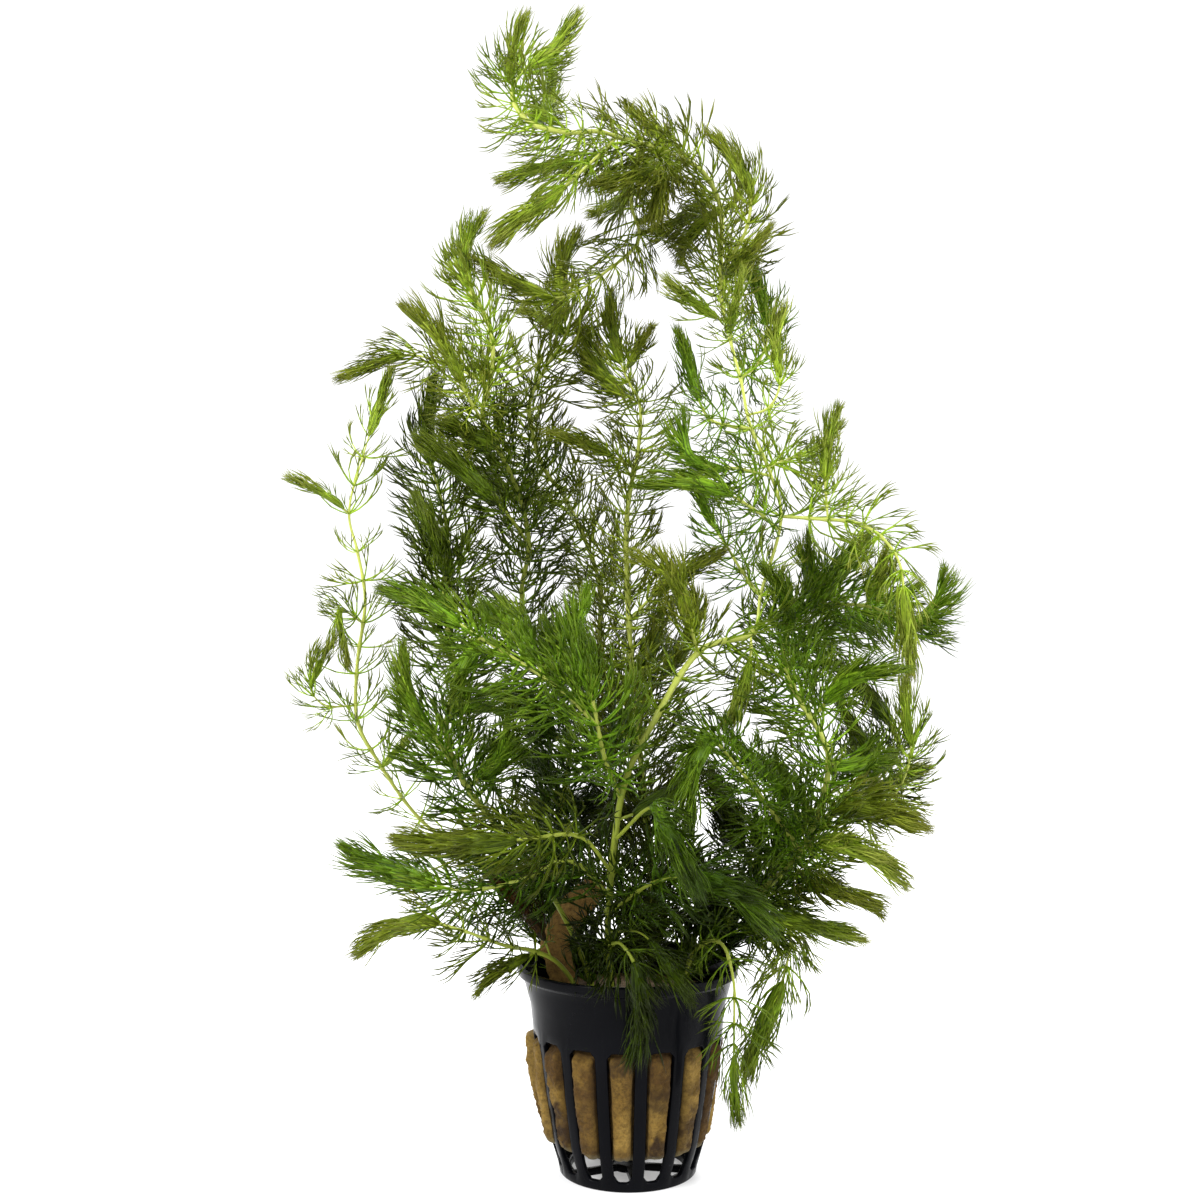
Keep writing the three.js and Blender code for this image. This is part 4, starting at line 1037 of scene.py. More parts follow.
def net_pot(material):
    """The pot's side, a shell with a slot between every two ribs."""
    verts, faces = [], []
    levels = pot_levels()
    per_pitch = SLOT_COLUMNS + RIB_COLUMNS
    columns = SLOTS * per_pitch
    for z in levels:
        radius = profile_radius(POT_OUTSIDE, z)
        half = (math.pi / SLOTS) * radius - RIB_WIDTH / 2
        into_slot = {SLOT_BOTTOM: 1, SLOT_TOP: -1}.get(z, 0)
        for angle, across in slot_columns(radius):
            height = z + into_slot * corner_drop(across, half)
            verts.append((radius * math.cos(angle), radius * math.sin(angle), height))
    for row, (low, high) in enumerate(zip(levels, levels[1:])):
        for k in range(columns):
            in_slot = k % per_pitch < SLOT_COLUMNS
            if not (in_slot and SLOT_BOTTOM <= low and high <= SLOT_TOP):
                faces.append(ring_face(row, k, columns))
    shell = mesh_object("net_pot_shell", verts, faces, [material])
    thicken(shell, POT_WALL, SIDE_ROUNDING)
    return shell


def thicken(piece, thickness, rounding):
    """Gives a surface a wall on its inner side, with softly rounded edges."""
    solidify = piece.modifiers.new("wall", "SOLIDIFY")
    solidify.thickness = thickness * MM
    solidify.offset = -1
    bevel = piece.modifiers.new("soft edges", "BEVEL")
    bevel.width = rounding * MM
    bevel.segments = 2
    bevel.limit_method = "ANGLE"
    bevel.angle_limit = math.radians(SHARP_EDGE)
    applied(piece)
    shade_smooth(piece.data)


def base_columns(radius):
    """(angle, whether a window may start here) round the base at a radius, in radians."""
    pitch = 2 * math.pi / SPOKES
    spoke_half = math.asin(SPOKE_WIDTH / 2 / max(radius, HUB_RADIUS))
    first = math.radians(SLOT_PHASE) + math.pi / SLOTS
    for i in range(SPOKES):
        middle = first + i * pitch
        for k in range(SPOKE_COLUMNS):
            yield middle + spoke_half * (2 * k / SPOKE_COLUMNS - 1), False
        for k in range(WINDOW_COLUMNS):
            yield middle + spoke_half + (pitch - 2 * spoke_half) * k / WINDOW_COLUMNS, True


def pot_base(material):
    """The flat foot: a hub and a ring joined by spokes."""
    verts = [(0.0, 0.0, BASE_THICKNESS)]
    columns = SPOKES * (SPOKE_COLUMNS + WINDOW_COLUMNS)
    for radius in BASE_RINGS:
        for angle, _ in base_columns(radius):
            verts.append((radius * math.cos(angle), radius * math.sin(angle), BASE_THICKNESS))
    open_columns = [is_open for _, is_open in base_columns(HUB_RADIUS)]
    faces = [(0, 1 + k, 1 + (k + 1) % columns) for k in range(columns)]
    for row, (low, high) in enumerate(zip(BASE_RINGS, BASE_RINGS[1:])):
        for k in range(columns):
            if open_columns[k] and low >= HUB_RADIUS and high <= WINDOW_REACH:
                continue
            a, b, c, d = ring_face(row, k, columns, first=1)
            faces.append((a, d, c, b))
    foot = mesh_object("net_pot_foot", verts, faces, [material])
    thicken(foot, BASE_THICKNESS, BASE_ROUNDING)
    return foot


# ---- rockwool -------------------------------------------------------------------------------
PLUG_ROWS = 84
PLUG_COLUMNS = 360
PLUG_CLEARANCE = 0.1  # from the inner side of the pot's wall
RIB_CLEARANCE = 0.2
WOOL_INSET = 0.35  # how far the wool is held in behind a rib
LID_SHARES = (0.97, 0.9, 0.8, 0.68, 0.54, 0.4, 0.26, 0.12)  # rings of the plug's ends

STRIP_ROUTE = [(-15.5, 2, 42), (-16, 2, 47), (-18, 2, 55), (-14, 2, 63), (-6.5, 0.5, 71)]
STRIP_WIDTH = 7.0
STRIP_THICKNESS = 1.6
STRIP_ROWS = 60
STRIP_COLUMNS = 14
THINNEST = 0.02  # half the strip's thickness at its torn sides

# Dark water stains on the wool in its slots: slot, height, half height and strength.
WOOL_STAINS = [
    (13, 14.0, 7.0, 0.9), (14, 9.5, 3.0, 0.7), (0, 31.5, 2.5, 0.8), (0, 9.5, 2.0, 0.5),
    (1, 23.5, 3.5, 0.75), (1, 10.5, 3.5, 1.0), (2, 14.0, 7.5, 0.8), (2, 25.0, 2.0, 0.5),
    (12, 11.0, 4.0, 0.6), (3, 18.0, 6.0, 0.7), (5, 15.0, 6.0, 0.8), (8, 20.0, 7.0, 0.7),
    (10, 12.0, 5.0, 0.6),
]


def wool_noise(point, scale, seed=0.0):
    return noise.noise(Vector(point) * scale + Vector((seed, 1.7 * seed, -seed)))


def stain_at(slot, across, z):
    """How stained the wool is, from 0 to 1, in a slot at a height."""
    dark = 0.0
    for where, height, half, strength in WOOL_STAINS:
        if where == slot:
            far = math.hypot((z - height) / half, 0.45 * across)
            far += 0.45 * noise.noise(Vector((slot * 5.3, across * 1.4, z * 0.35)))
            dark = max(dark, strength * (1 - smooth_step(0.6, 1.15, far)))
    return dark


def bulge_at(slot, z):
    """How far the wool stands out of a slot."""
    if slot == FULL_SLOT:
        return FULL_BULGE * (1 - ((z - FULL_HEIGHT) / FULL_HALF) ** 2)
    return 0.3 + 1.1 * (0.5 + noise.noise(Vector((slot * 3.1, 0.5, z * 0.09))))


def across_slot(angle, inner, z):
    """The slot at an angle, and how far across it that is: from -1 to 1, and past them at a rib."""
    pitch = 2 * math.pi / SLOTS
    turn = angle - math.radians(SLOT_PHASE)
    slot = round(turn / pitch) % SLOTS
    off_middle = (turn + pitch / 2) % pitch - pitch / 2
    half = pitch / 2 - (RIB_WIDTH / 2 + RIB_CLEARANCE) / (inner + POT_WALL)
    side = 1 if off_middle > 0 else -1
    half *= 1 - 0.1 * max(0.0, 0.2 + noise.noise(Vector((slot * 2.3 + side, z * 0.14, 4.0))))
    return slot, off_middle / half


def wool_radius(angle, slot, across, inner, z):
    """How far out the wool reaches, and how much of that its slot lets out, from 0 to 1."""
    swell = max(0.0, 1 - abs(across) ** 6)
    low = PLUG_BOTTOM + 0.9 * wool_noise((slot * 4.1, across * 1.7, 0), 0.9)
    top = SLOT_TOP - 0.3 + 0.7 * noise.noise(Vector((slot * 3.7, across, 9.0)))
    swell *= smooth_step(low - 0.4, low + 1.6, z) * (1 - smooth_step(top - 2.4, top, z))
    point = (inner * math.cos(angle), inner * math.sin(angle), z)
    tufts = ((0.5, 0.4, 0), (0.3, 1.3, 4), (0.2, 3.2, 9))  # height, fineness and seed of each
    rough = sum(height * wool_noise(point, fineness, seed) for height, fineness, seed in tufts)
    bulge = POT_WALL + WOOL_INSET + bulge_at(slot, z)
    radius = inner - WOOL_INSET + swell * (bulge + rough) + (1 - swell) * min(0.0, rough)
    return radius - 0.9 * (1 - smooth_step(low - 0.8, low + 1.0, z)), swell


def rockwool_plug(material):
    """The block that fills the pot and bulges out of its slots, with painted shade where it lies
    back behind the ribs.
    """
    verts, faces, stains_and_shade, tints = [], [], [], []
    wall = [(r - POT_WALL - PLUG_CLEARANCE, z) for r, z in POT_OUTSIDE]
    for row in range(PLUG_ROWS + 1):
        z = PLUG_BOTTOM + (PLUG_TOP - PLUG_BOTTOM) * row / PLUG_ROWS
        inner = profile_radius(wall, z)
        for k in range(PLUG_COLUMNS):
            angle = 2 * math.pi * k / PLUG_COLUMNS
            slot, across = across_slot(angle, inner, z)
            radius, swell = wool_radius(angle, slot, across, inner, z)
            verts.append((radius * math.cos(angle), radius * math.sin(angle), z))
            # Painted shade: wool that lies back behind the ribs and at the slots' ends is given the
            # staining brown.
            stains_and_shade.append(max(stain_at(slot, across, z), 0.75 * (1 - swell)))
            tints.append(0.5 + noise.noise(Vector((slot * 1.9, 2.0, z * 0.05))))
    for row in range(PLUG_ROWS):
        faces += [ring_face(row, k, PLUG_COLUMNS) for k in range(PLUG_COLUMNS)]
    add_lid(verts, faces, 0, PLUG_BOTTOM, True)
    add_lid(verts, faces, PLUG_ROWS * PLUG_COLUMNS, PLUG_TOP, False)
    plug = mesh_object("rockwool", verts, faces, [material])
    hidden = len(verts) - len(stains_and_shade)
    store(plug.data, "stain_and_shade", "FLOAT", stains_and_shade + [0.5] * hidden)
    store(plug.data, "tint", "FLOAT", tints + [0.5] * hidden)
    return plug


def add_lid(verts, faces, start, z, below):
    """Closes a ring of the plug's points with rings that shrink to its middle, roughened."""
    ring = list(range(start, start + PLUG_COLUMNS))
    edge = [Vector(verts[i]) for i in ring]
    for share in LID_SHARES:
        first = len(verts)
        for place in edge:
            flat = Vector((place.x * share, place.y * share, z))
            lift = 0.7 * wool_noise(flat, 0.35, 3) + 0.4 * wool_noise(flat, 1.3, 7)
            verts.append((flat.x, flat.y, z - 0.2 * abs(lift) if below else z + lift))
        fresh = list(range(first, first + PLUG_COLUMNS))
        for k in range(PLUG_COLUMNS):
            n = (k + 1) % PLUG_COLUMNS
            quad = (ring[k], ring[n], fresh[n], fresh[k])
            faces.append(quad[::-1] if below else quad)
        ring = fresh
    middle = len(verts)
    verts.append((0, 0, z))
    for k in range(PLUG_COLUMNS):
        a, b = ring[k], ring[(k + 1) % PLUG_COLUMNS]
        faces.append((b, a, middle) if below else (a, b, middle))


def wool_strip(material):
    """A torn strip of wool that keeps its flat side to the front."""
    path = Path(through(STRIP_ROUTE))
    front, back, faces = [], [], []
    for row in range(STRIP_ROWS + 1):
        s = path.length * row / STRIP_ROWS
        centre, along = path.at(s), path.along(s)
        side = Vector((0, 1, 0)).cross(along).normalized()
        end = 1 - 0.5 * smooth_step(path.length - 3, path.length, s)
        for k in range(STRIP_COLUMNS + 1):
            across = (k / STRIP_COLUMNS - 0.5) * STRIP_WIDTH
            ragged = 1 + 0.16 * noise.noise(Vector((s * 0.35, 3.0 if across > 0 else 8.0, 0)))
            place = centre + side * across * ragged * end
            round_off = math.sqrt(max(0.0, 1 - (2 * k / STRIP_COLUMNS - 1) ** 4))
            rough = 0.35 * wool_noise(place, 0.8) + 0.2 * wool_noise(place, 2.2, 5)
            flat = STRIP_THICKNESS / 2 * round_off
            front.append(place - Vector((0, max(flat + rough * round_off, THINNEST), 0)))
            back.append(place + Vector((0, max(flat, THINNEST), 0)))
    wide = STRIP_COLUMNS + 1
    count = len(front)
    for row in range(STRIP_ROWS):
        for k in range(STRIP_COLUMNS):
            a = row * wide + k
            faces.append((a, a + 1, a + wide + 1, a + wide))
            faces.append((count + a, count + a + wide, count + a + wide + 1, count + a + 1))
        left, right = row * wide, row * wide + STRIP_COLUMNS
        for a, b in ((left, left + wide), (right + wide, right)):
            faces.append((a, b, count + b, count + a))
    for k in range(STRIP_COLUMNS):
        faces.append((k + 1, k, count + k, count + k + 1))
        top = STRIP_ROWS * wide + k
        faces.append((top, top + 1, count + top + 1, count + top))
    piece = mesh_object("wool_strip_torn", front + back, faces, [material])
    faced_outward(piece)
    return piece


# ---- leaves ---------------------------------------------------------------------------------
# The shapes of leaf that the whorls pick from, each 1 long: how many there are, the first one's
# seed, how often they fork, their radius at the foot, the first one's curl and what each further
# one adds in radians, and half a fork's angle.
LEAF_SHAPES = {
    "old": {
        "count": 7, "seed": 20, "forks": 2, "slender": 0.0175, "curl": 0.6, "more_curl": 0.13,
        "opening": 0.22,
    },
    "young": {
        "count": 5, "seed": 60, "forks": 1, "slender": 0.014, "curl": 0.6, "more_curl": 0.08,
        "opening": 0.12,
    },
}
LEAF_SIDES = 3
FIRST_FORK = {1: 0.4, 2: 0.36}  # how far along a leaf it first forks, by how often it does
NEXT_FORK = 0.4  # how far along what is left it forks again
BRANCH_TAPER = 0.15  # of the leaf's radius, along each branch

# The whorl tree's named inputs: what chance adds, and how leaves cling together and sway.
WHORL_HABIT = {
    "Size jitter": 0.2, "Spread jitter": 0.3, "Turn jitter": 0.3, "Clinging": 0.22, "Sway": 0.007,
}
BUNCHES = 3  # to a whorl
ROLL_JITTER = 0.6
SWAY_FINENESS = 70.0
SWAY_MIDDLE = (0.5, 0.5, 0.62)  # taken off the noise, and more off its height: leaves hang
SWAY_POWER = 1.6
# Each chance adds its own number to the shoot's seed.
TURN_SEED = 16
SHAPE_SEED = 17
SPREAD_SEED = 20
ROLL_SEED = 31
TONE_SEED = 43
SIZE_SEED = 46


def forked_leaf(name, seed, forks, slender, curl, opening):
    """One leaf of length 1 that grows along +X, splits in two `forks` times and curls to +Z.

    `slender` is its radius at the foot, `curl` its turn in radians, `opening` half a fork's angle.
    """
    pick = random.Random(seed)
    verts, faces, reach = [], [], []

    def corner(point, start):
        verts.append(point)
        reach.append(min(1.0, start))
        return len(verts) - 1

    def ring_round(points, i, radius, start):
        """The corners round one of a branch's points, or its tip alone."""
        if radius == 0:
            return [corner(points[i], start)]
        along = (points[min(i + 1, len(points) - 1)] - points[max(i - 1, 0)]).normalized()
        side = along.cross(Vector((0, 0, 1))).normalized()
        up = side.cross(along)
        turns = [2 * math.pi * k / LEAF_SIDES + math.pi / 2 for k in range(LEAF_SIDES)]
        outs = [radius * (math.cos(turn) * side + math.sin(turn) * up) for turn in turns]
        return [corner(points[i] + out, start) for out in outs]

    def tube(points, radii, starts):
        rings = [ring_round(points, i, radii[i], starts[i]) for i in range(len(points))]
        for a, b in zip(rings, rings[1:]):
            for k in range(LEAF_SIDES):
                n = (k + 1) % LEAF_SIDES
                faces.append((a[n], a[k], b[0]) if len(b) == 1 else (a[n], a[k], b[k], b[n]))
        faces.append(tuple(rings[0]))
        if len(rings[-1]) > 1:
            faces.append(tuple(reversed(rings[-1])))

    def grow(start, heading, aim, tilt, length, level, done):
        """One branch, which bends from `heading` to `aim`, so that a fork's arms lie close."""
        last = level == forks
        points, shares = [start], [done]
        steps = 2 if last or level + 1 < forks else 1
        for _ in range(steps):
            tilt += curl * length / steps * pick.uniform(0.7, 1.3)
            bearing = heading + pick.uniform(-0.05, 0.05)
            step = Vector((math.cos(tilt) * math.cos(bearing), math.cos(tilt) * math.sin(bearing),
                           math.sin(tilt)))
            points.append(points[-1] + step * length / steps)
            shares.append(shares[-1] + length / steps)
            heading += 0.5 * (aim - heading)
        thick = slender * (1 - BRANCH_TAPER * level)
        if last:
            tube(points, [thick, 0.95 * thick, 0], shares)
            return
        tube(points, [thick - BRANCH_TAPER * slender * i / steps for i in range(steps + 1)], shares)
        rest = 1 - done - length
        ahead = rest if level + 1 == forks else rest * NEXT_FORK
        for sign in (-1, 1):
            turned = heading + sign * opening * pick.uniform(0.7, 1.3)
            aim = heading + 0.35 * (turned - heading)
            grow(points[-1], turned, aim, tilt + pick.uniform(-0.1, 0.1),
                 ahead * pick.uniform(0.86, 1.08), level + 1, done + length)

    heading = pick.uniform(-0.08, 0.08)
    tilt = pick.uniform(-0.15, 0.0)
    grow(Vector((0, 0, 0)), heading, heading, tilt, FIRST_FORK[forks], 0, 0.0)
    mesh = bpy.data.meshes.new(name)
    mesh.from_pydata(verts, [], faces)
    shade_smooth(mesh)
    store(mesh, "reach", "FLOAT", reach)
    return bpy.data.objects.new(name, mesh)


def leaf_kinds():
    """A collection of the leaf shapes, the old ones first, for the whorls to pick from."""
    kinds = bpy.data.collections.new("leaf kinds")
    for age, habit in LEAF_SHAPES.items():
        for i in range(habit["count"]):
            name = f"leaf_{len(kinds.objects):02d}_{age}"
            curl = habit["curl"] + habit["more_curl"] * i
            kinds.objects.link(forked_leaf(name, habit["seed"] + i, habit["forks"],
                                           habit["slender"], curl, habit["opening"]))
    return kinds


def whorl_tree(kinds, material):
    """Geometry nodes: every station of a stem gets a whorl of leaves, and the stem is added."""
    tree = bpy.data.node_groups.new("whorls of leaves", "GeometryNodeTree")
    face = tree.interface
    for name, kind in (("Stations", "Geometry"), ("Stem", "Object"), ("Seed", "Int")):
        face.new_socket(name, in_out="INPUT", socket_type=f"NodeSocket{kind}")
    for name, value in WHORL_HABIT.items():
        socket = face.new_socket(name, in_out="INPUT", socket_type="NodeSocketFloat")
        socket.default_value = value
    face.new_socket("Shoot", in_out="OUTPUT", socket_type="NodeSocketGeometry")
    nodes = tree.nodes
    given = nodes.new("NodeGroupInput").outputs
    result = nodes.new("NodeGroupOutput")

    def calc(operation, *values):
        return math_node(nodes, operation, *values)

    def named(attribute, data_type="FLOAT"):
        inputs = {"Name": attribute}
        node = add(nodes, "GeometryNodeInputNamedAttribute", inputs, data_type=data_type)
        return node.outputs["Attribute"]

    def chance(low, high, offset, data_type="FLOAT"):
        node = add(nodes, "FunctionNodeRandomValue", data_type=data_type)
        feed(enabled(node.inputs, "Min"), low)
        feed(enabled(node.inputs, "Max"), high)
        feed(enabled(node.inputs, "Seed"), calc("ADD", given["Seed"], offset))
        return enabled(node.outputs, "Value")

    def spread_of(amount, offset):
        return chance(calc("MULTIPLY", amount, -1.0), amount, offset)

    def turned(rotation, axis, angle):
        step = add(nodes, "FunctionNodeAxisAngleToRotation", {"Axis": axis, "Angle": angle})
        inputs = {"Rotation": rotation, "Rotate By": step.outputs["Rotation"]}
        node = add(nodes, "FunctionNodeRotateRotation", inputs, rotation_space="LOCAL")
        return node.outputs["Rotation"]

    # a point for each leaf, turned round its stem and tilted off it
    count = named("count", "INT")
    inputs = {"Geometry": given["Stations"], "Amount": count}
    copies = add(nodes, "GeometryNodeDuplicateElements", inputs, domain="POINT")
    share = calc("DIVIDE", copies.outputs["Duplicate Index"], count)
    turn = calc("ADD", calc("MULTIPLY", share, 2 * math.pi), named("turn"))
    bunch = calc("SINE", calc("ADD", calc("MULTIPLY", turn, BUNCHES), named("turn")))
    turn = calc("ADD", turn, calc("MULTIPLY", bunch, given["Clinging"]))
    turn = calc("ADD", turn, spread_of(given["Turn jitter"], TURN_SEED))
    stray = calc("MULTIPLY", spread_of(given["Spread jitter"], SPREAD_SEED), named("loose"))
    tilt = calc("ADD", named("lift"), stray)
    roll = calc("MULTIPLY", chance(-ROLL_JITTER, ROLL_JITTER, ROLL_SEED), named("loose"))
    inputs = {"Vector": named("along", "FLOAT_VECTOR")}
    upright = add(nodes, "FunctionNodeAlignRotationToVector", inputs, axis="Z")
    rotation = turned(upright.outputs["Rotation"], (0, 0, 1), turn)
    rotation = turned(rotation, (0, 1, 0), calc("MULTIPLY", tilt, -1.0))
    rotation = turned(rotation, (1, 0, 0), roll)

    # a leaf on each point
    inputs = {"Collection": kinds, "Separate Children": True, "Reset Children": True}
    leaves = add(nodes, "GeometryNodeCollectionInfo", inputs, transform_space="ORIGINAL")
    jitter = calc("ADD", spread_of(given["Size jitter"], SIZE_SEED), 1.0)
    place = add(nodes, "GeometryNodeInstanceOnPoints", {
        "Points": copies.outputs["Geometry"],
        "Instance": leaves.outputs["Instances"],
        "Pick Instance": True,
        "Instance Index": chance(named("first", "INT"), named("last", "INT"), SHAPE_SEED, "INT"),
        "Rotation": rotation,
        "Scale": calc("MULTIPLY", named("size"), jitter),
    })
    inputs = {"Name": "tone", "Geometry": place.outputs["Instances"]}
    toned = add(nodes, "GeometryNodeStoreNamedAttribute", inputs, data_type="FLOAT",
                domain="INSTANCE")
    feed(enabled(toned.inputs, "Value"), chance(-1.0, 1.0, TONE_SEED))
    inputs = {"Geometry": toned.outputs["Geometry"]}
    realised = add(nodes, "GeometryNodeRealizeInstances", inputs)

    # limp leaves sway off their line, more toward their tips
    spot = nodes.new("GeometryNodeInputPosition").outputs["Position"]
    inputs = {"Vector": spot, "Scale": SWAY_FINENESS, "Detail": 1.0}
    wander = add(nodes, "ShaderNodeTexNoise", inputs).outputs["Color"]
    inputs = {0: wander, 1: SWAY_MIDDLE}
    centred = add(nodes, "ShaderNodeVectorMath", inputs, operation="SUBTRACT").outputs[0]
    amount = calc("MULTIPLY", calc("POWER", named("reach"), SWAY_POWER), given["Sway"])
    inputs = {0: centred, "Scale": calc("MULTIPLY", amount, named("loose"))}
    sway = add(nodes, "ShaderNodeVectorMath", inputs, operation="SCALE").outputs[0]
    inputs = {"Geometry": realised.outputs["Geometry"], "Offset": sway}
    swayed = add(nodes, "GeometryNodeSetPosition", inputs)
    inputs = {"Geometry": swayed.outputs["Geometry"], "Material": material}
    painted = add(nodes, "GeometryNodeSetMaterial", inputs)

    stem = add(nodes, "GeometryNodeObjectInfo", {"Object": given["Stem"]})
    joined = nodes.new("GeometryNodeJoinGeometry")
    for part in (stem, painted):
        feed(joined.inputs[0], part.outputs["Geometry"])
    feed(result.inputs[0], joined.outputs[0])
    return tree


# ---- shoots ---------------------------------------------------------------------------------
SLOT_OF_TONE = {
    "bright": "leaf_bright", "stalk": "leaf_bright", "green": "leaf_bright",
    "olive": "leaf_olive", "dark": "leaf_dark",
}
# How fresh each tone's leaves are, and their hue: 0 is green, 1 olive and 2 brown.
TONES = {
    "bright": (0.72, 0.4), "green": (0.53, 0.12), "olive": (0.56, 0.75), "dark": (0.36, 0.5),
    "stalk": (0.48, 0.45), "brown": (0.45, 2.0),
}

USUAL_BRUSH = 8  # the width of a tip where none is given
FAR_FROM_TIP = 60.0  # stands for the distance from a tip on a stem that goes on in another
CARRIED_ON = 8  # how far back a stem is followed where another goes on from its end
BARE_TIP = 2.5  # before the first whorl from a tip, above a fork and above a root in the plug
BARE_FORK = 2.5
BARE_ROOT = 9.5
CLOSED_SPREAD = 21  # degrees from the stem in a closed tip
BRUSH_SPREAD = 12  # more in a brush of the usual width
OPEN_SPREAD = 80
YOUNG_FRESHNESS = 0.14  # what a closed tip's leaves are fresher by
# The closed part of a tip: a length, more by its brush's width, and at most a share of the shoot.
CLOSED_LENGTH = 4
CLOSED_BY_WIDTH = 1.9
CLOSED_SHARE = 0.7
# The heart of the clump, low over the pot, where leaves and stalks get painted shade and whorls
# crowd: the heights, the distances to the sides and the depths between which it fades.
HEART_HEIGHTS = (65, 135)
HEART_SIDES = (14, 48)
CROWDED_DEPTHS = (-20, 0)
# Where leaves would hide the strip of wool and the main stalk: spans of x and z, and the depth in
# front of which no whorl stands.
BARE_BOXES = [((-20, -5), (47, 72), 3), ((-10, 5), (62, 96), -29)]

ANY_NORMAL = Vector((0.31, 0.87, 0.38))  # a direction that no stem sets out in
WHORL_SWELL = 0.5  # of a stem's radius, at each whorl
TIP_SWELL = 0.18
SWELL_REACH = 0.8
STEM_TAPER = 0.12  # of its radius, over its length
TIP_TAPER = 0.72
CORE_SIDES = 14
CORE_STEP = 1.3
CORE_RADIUS = 0.23  # of the brush's width
CORE_OVERLAP = 3  # how far a core reaches down into the open whorls


def route_path(shoot, parent=None, follower=None):
    """A shoot's line, from its fork on the parent and on toward the shoot that follows it."""
    points = list(shoot["route"])
    before = None
    if parent:
        fork = parent.at(shoot["at"] * parent.length)
        points.insert(0, tuple(fork))
        if shoot["at"] == 1:
            before = tuple(parent.at(parent.length - CARRIED_ON))
    after = follower["route"][0] if follower else None
    return Path(through(points, before, after))


def brush_width(shoot):
    return shoot.get("brush", USUAL_BRUSH)


def closed_length(path, shoot):
    """How much of a shoot's tip is a closed brush."""
    return min(CLOSED_LENGTH + CLOSED_BY_WIDTH * brush_width(shoot), CLOSED_SHARE * path.length)


def from_tip(path, shoot, s):
    """How far a place along a stem is from the shoot's tip."""
    return path.length - s if "brush" in shoot else FAR_FROM_TIP


def heart_at(place):
    """How far into the heart of the clump a place is, from 0 to 1; it sets the painted shade there.
    """
    low = 1 - smooth_step(*HEART_HEIGHTS, place.z)
    return low * (1 - smooth_step(*HEART_SIDES, abs(place.x)))


def crowding_at(place):
    """How much closer the whorls stand in the heart, behind the front stems."""
    return HEART_CROWDING * heart_at(place) * smooth_step(*CROWDED_DEPTHS, place.y)


def whorl_places(path, shoot, pick, start, forks):
    """Distances along a stem at which whorls stand; every fork is at a whorl."""
    spacing = shoot.get("spacing", LEAF_SPACING)
    closed = closed_length(path, shoot)
    places = []
    s = path.length - (BARE_TIP if "brush" in shoot else spacing)
    while s > start:
        places.append(s)
        opened = smooth_step(4, closed + 16, from_tip(path, shoot, s))
        step = TIP_SPACING + (spacing - TIP_SPACING) * opened
        step *= 1 - crowding_at(path.at(s))
        s -= step * pick.uniform(0.85, 1.15)
    for fork in forks:
        near = min(range(len(places)), key=lambda i: abs(places[i] - fork), default=None)
        if near is not None and abs(places[near] - fork) < spacing / 2:
            places[near] = fork
        else:
            places.append(fork)
    return sorted(places, reverse=True)


def left_bare(place):
    """Whether leaves at a place would hide the strip of wool or the main stalk."""
    for (left, right), (low, high), back in BARE_BOXES:
        if left < place.x < right and low < place.z < high and place.y < back:
            return True
    return False


def leaf_size(shoot, d, opened):
    """A leaf's length, which grows away from the tip and as its whorl opens."""
    closed_size = min(0.8 * d + 4.0, 9.0 + 4.0 * brush_width(shoot) / USUAL_BRUSH)
    return closed_size * (1 - opened) + shoot.get("leaf", LEAF_LENGTH) * opened


def leaf_spread(shoot, d, opened):
    """How far leaves stand off the stem, in radians."""
    closed_spread = CLOSED_SPREAD + BRUSH_SPREAD * brush_width(shoot) / USUAL_BRUSH
    tight = closed_spread * smooth_step(-4, 9, d)
    return math.radians(tight * (1 - opened) + OPEN_SPREAD * opened)


def whorl_stations(path, shoot, pick, rooted, forks):
    """Where the whorls stand, with each one's leaf size and lift."""
    stations = []
    fresh_base, hue = TONES[shoot["tone"]]
    closed = closed_length(path, shoot)
    for s in whorl_places(path, shoot, pick, BARE_ROOT if rooted else BARE_FORK, forks):
        place = path.at(s)
        if left_bare(place):
            continue
        d = from_tip(path, shoot, s)
        opened = smooth_step(closed - 3, closed + 14, d)
        spread = leaf_spread(shoot, d, opened)
        # Painted shade: leaves in the heart of the clump are made less fresh, so darker.
        fresh = fresh_base - PAINTED_HEART_SHADE * heart_at(place)
        if "brush" in shoot:
            fresh += YOUNG_FRESHNESS * (1 - smooth_step(1, closed + 4, d))
        if rooted:
            spread *= 0.5 + 0.5 * smooth_step(8, 30, s)
        count = CLOSED_LEAVES if d < closed else shoot.get("leaves", OPEN_LEAVES)
        stations.append({
            "place": place,
            "along": path.along(s),
            "size": leaf_size(shoot, d, opened) * pick.uniform(0.9, 1.1),
            "lift": math.pi / 2 - spread * pick.uniform(0.88, 1.12),
            "turn": pick.uniform(0, 6.28),
            "count": count + pick.choice((-1, 0, 1)),
            "age": "young" if d < closed else "old",
            "fresh": fresh,
            "hue": hue,
            "loose": 0.3 + 0.7 * opened,
        })
    return stations


def carried(normal, along):
    """A normal kept square to a line as it bends, and the direction square to both."""
    normal = (normal - along * normal.dot(along)).normalized()
    return normal, along.cross(normal)


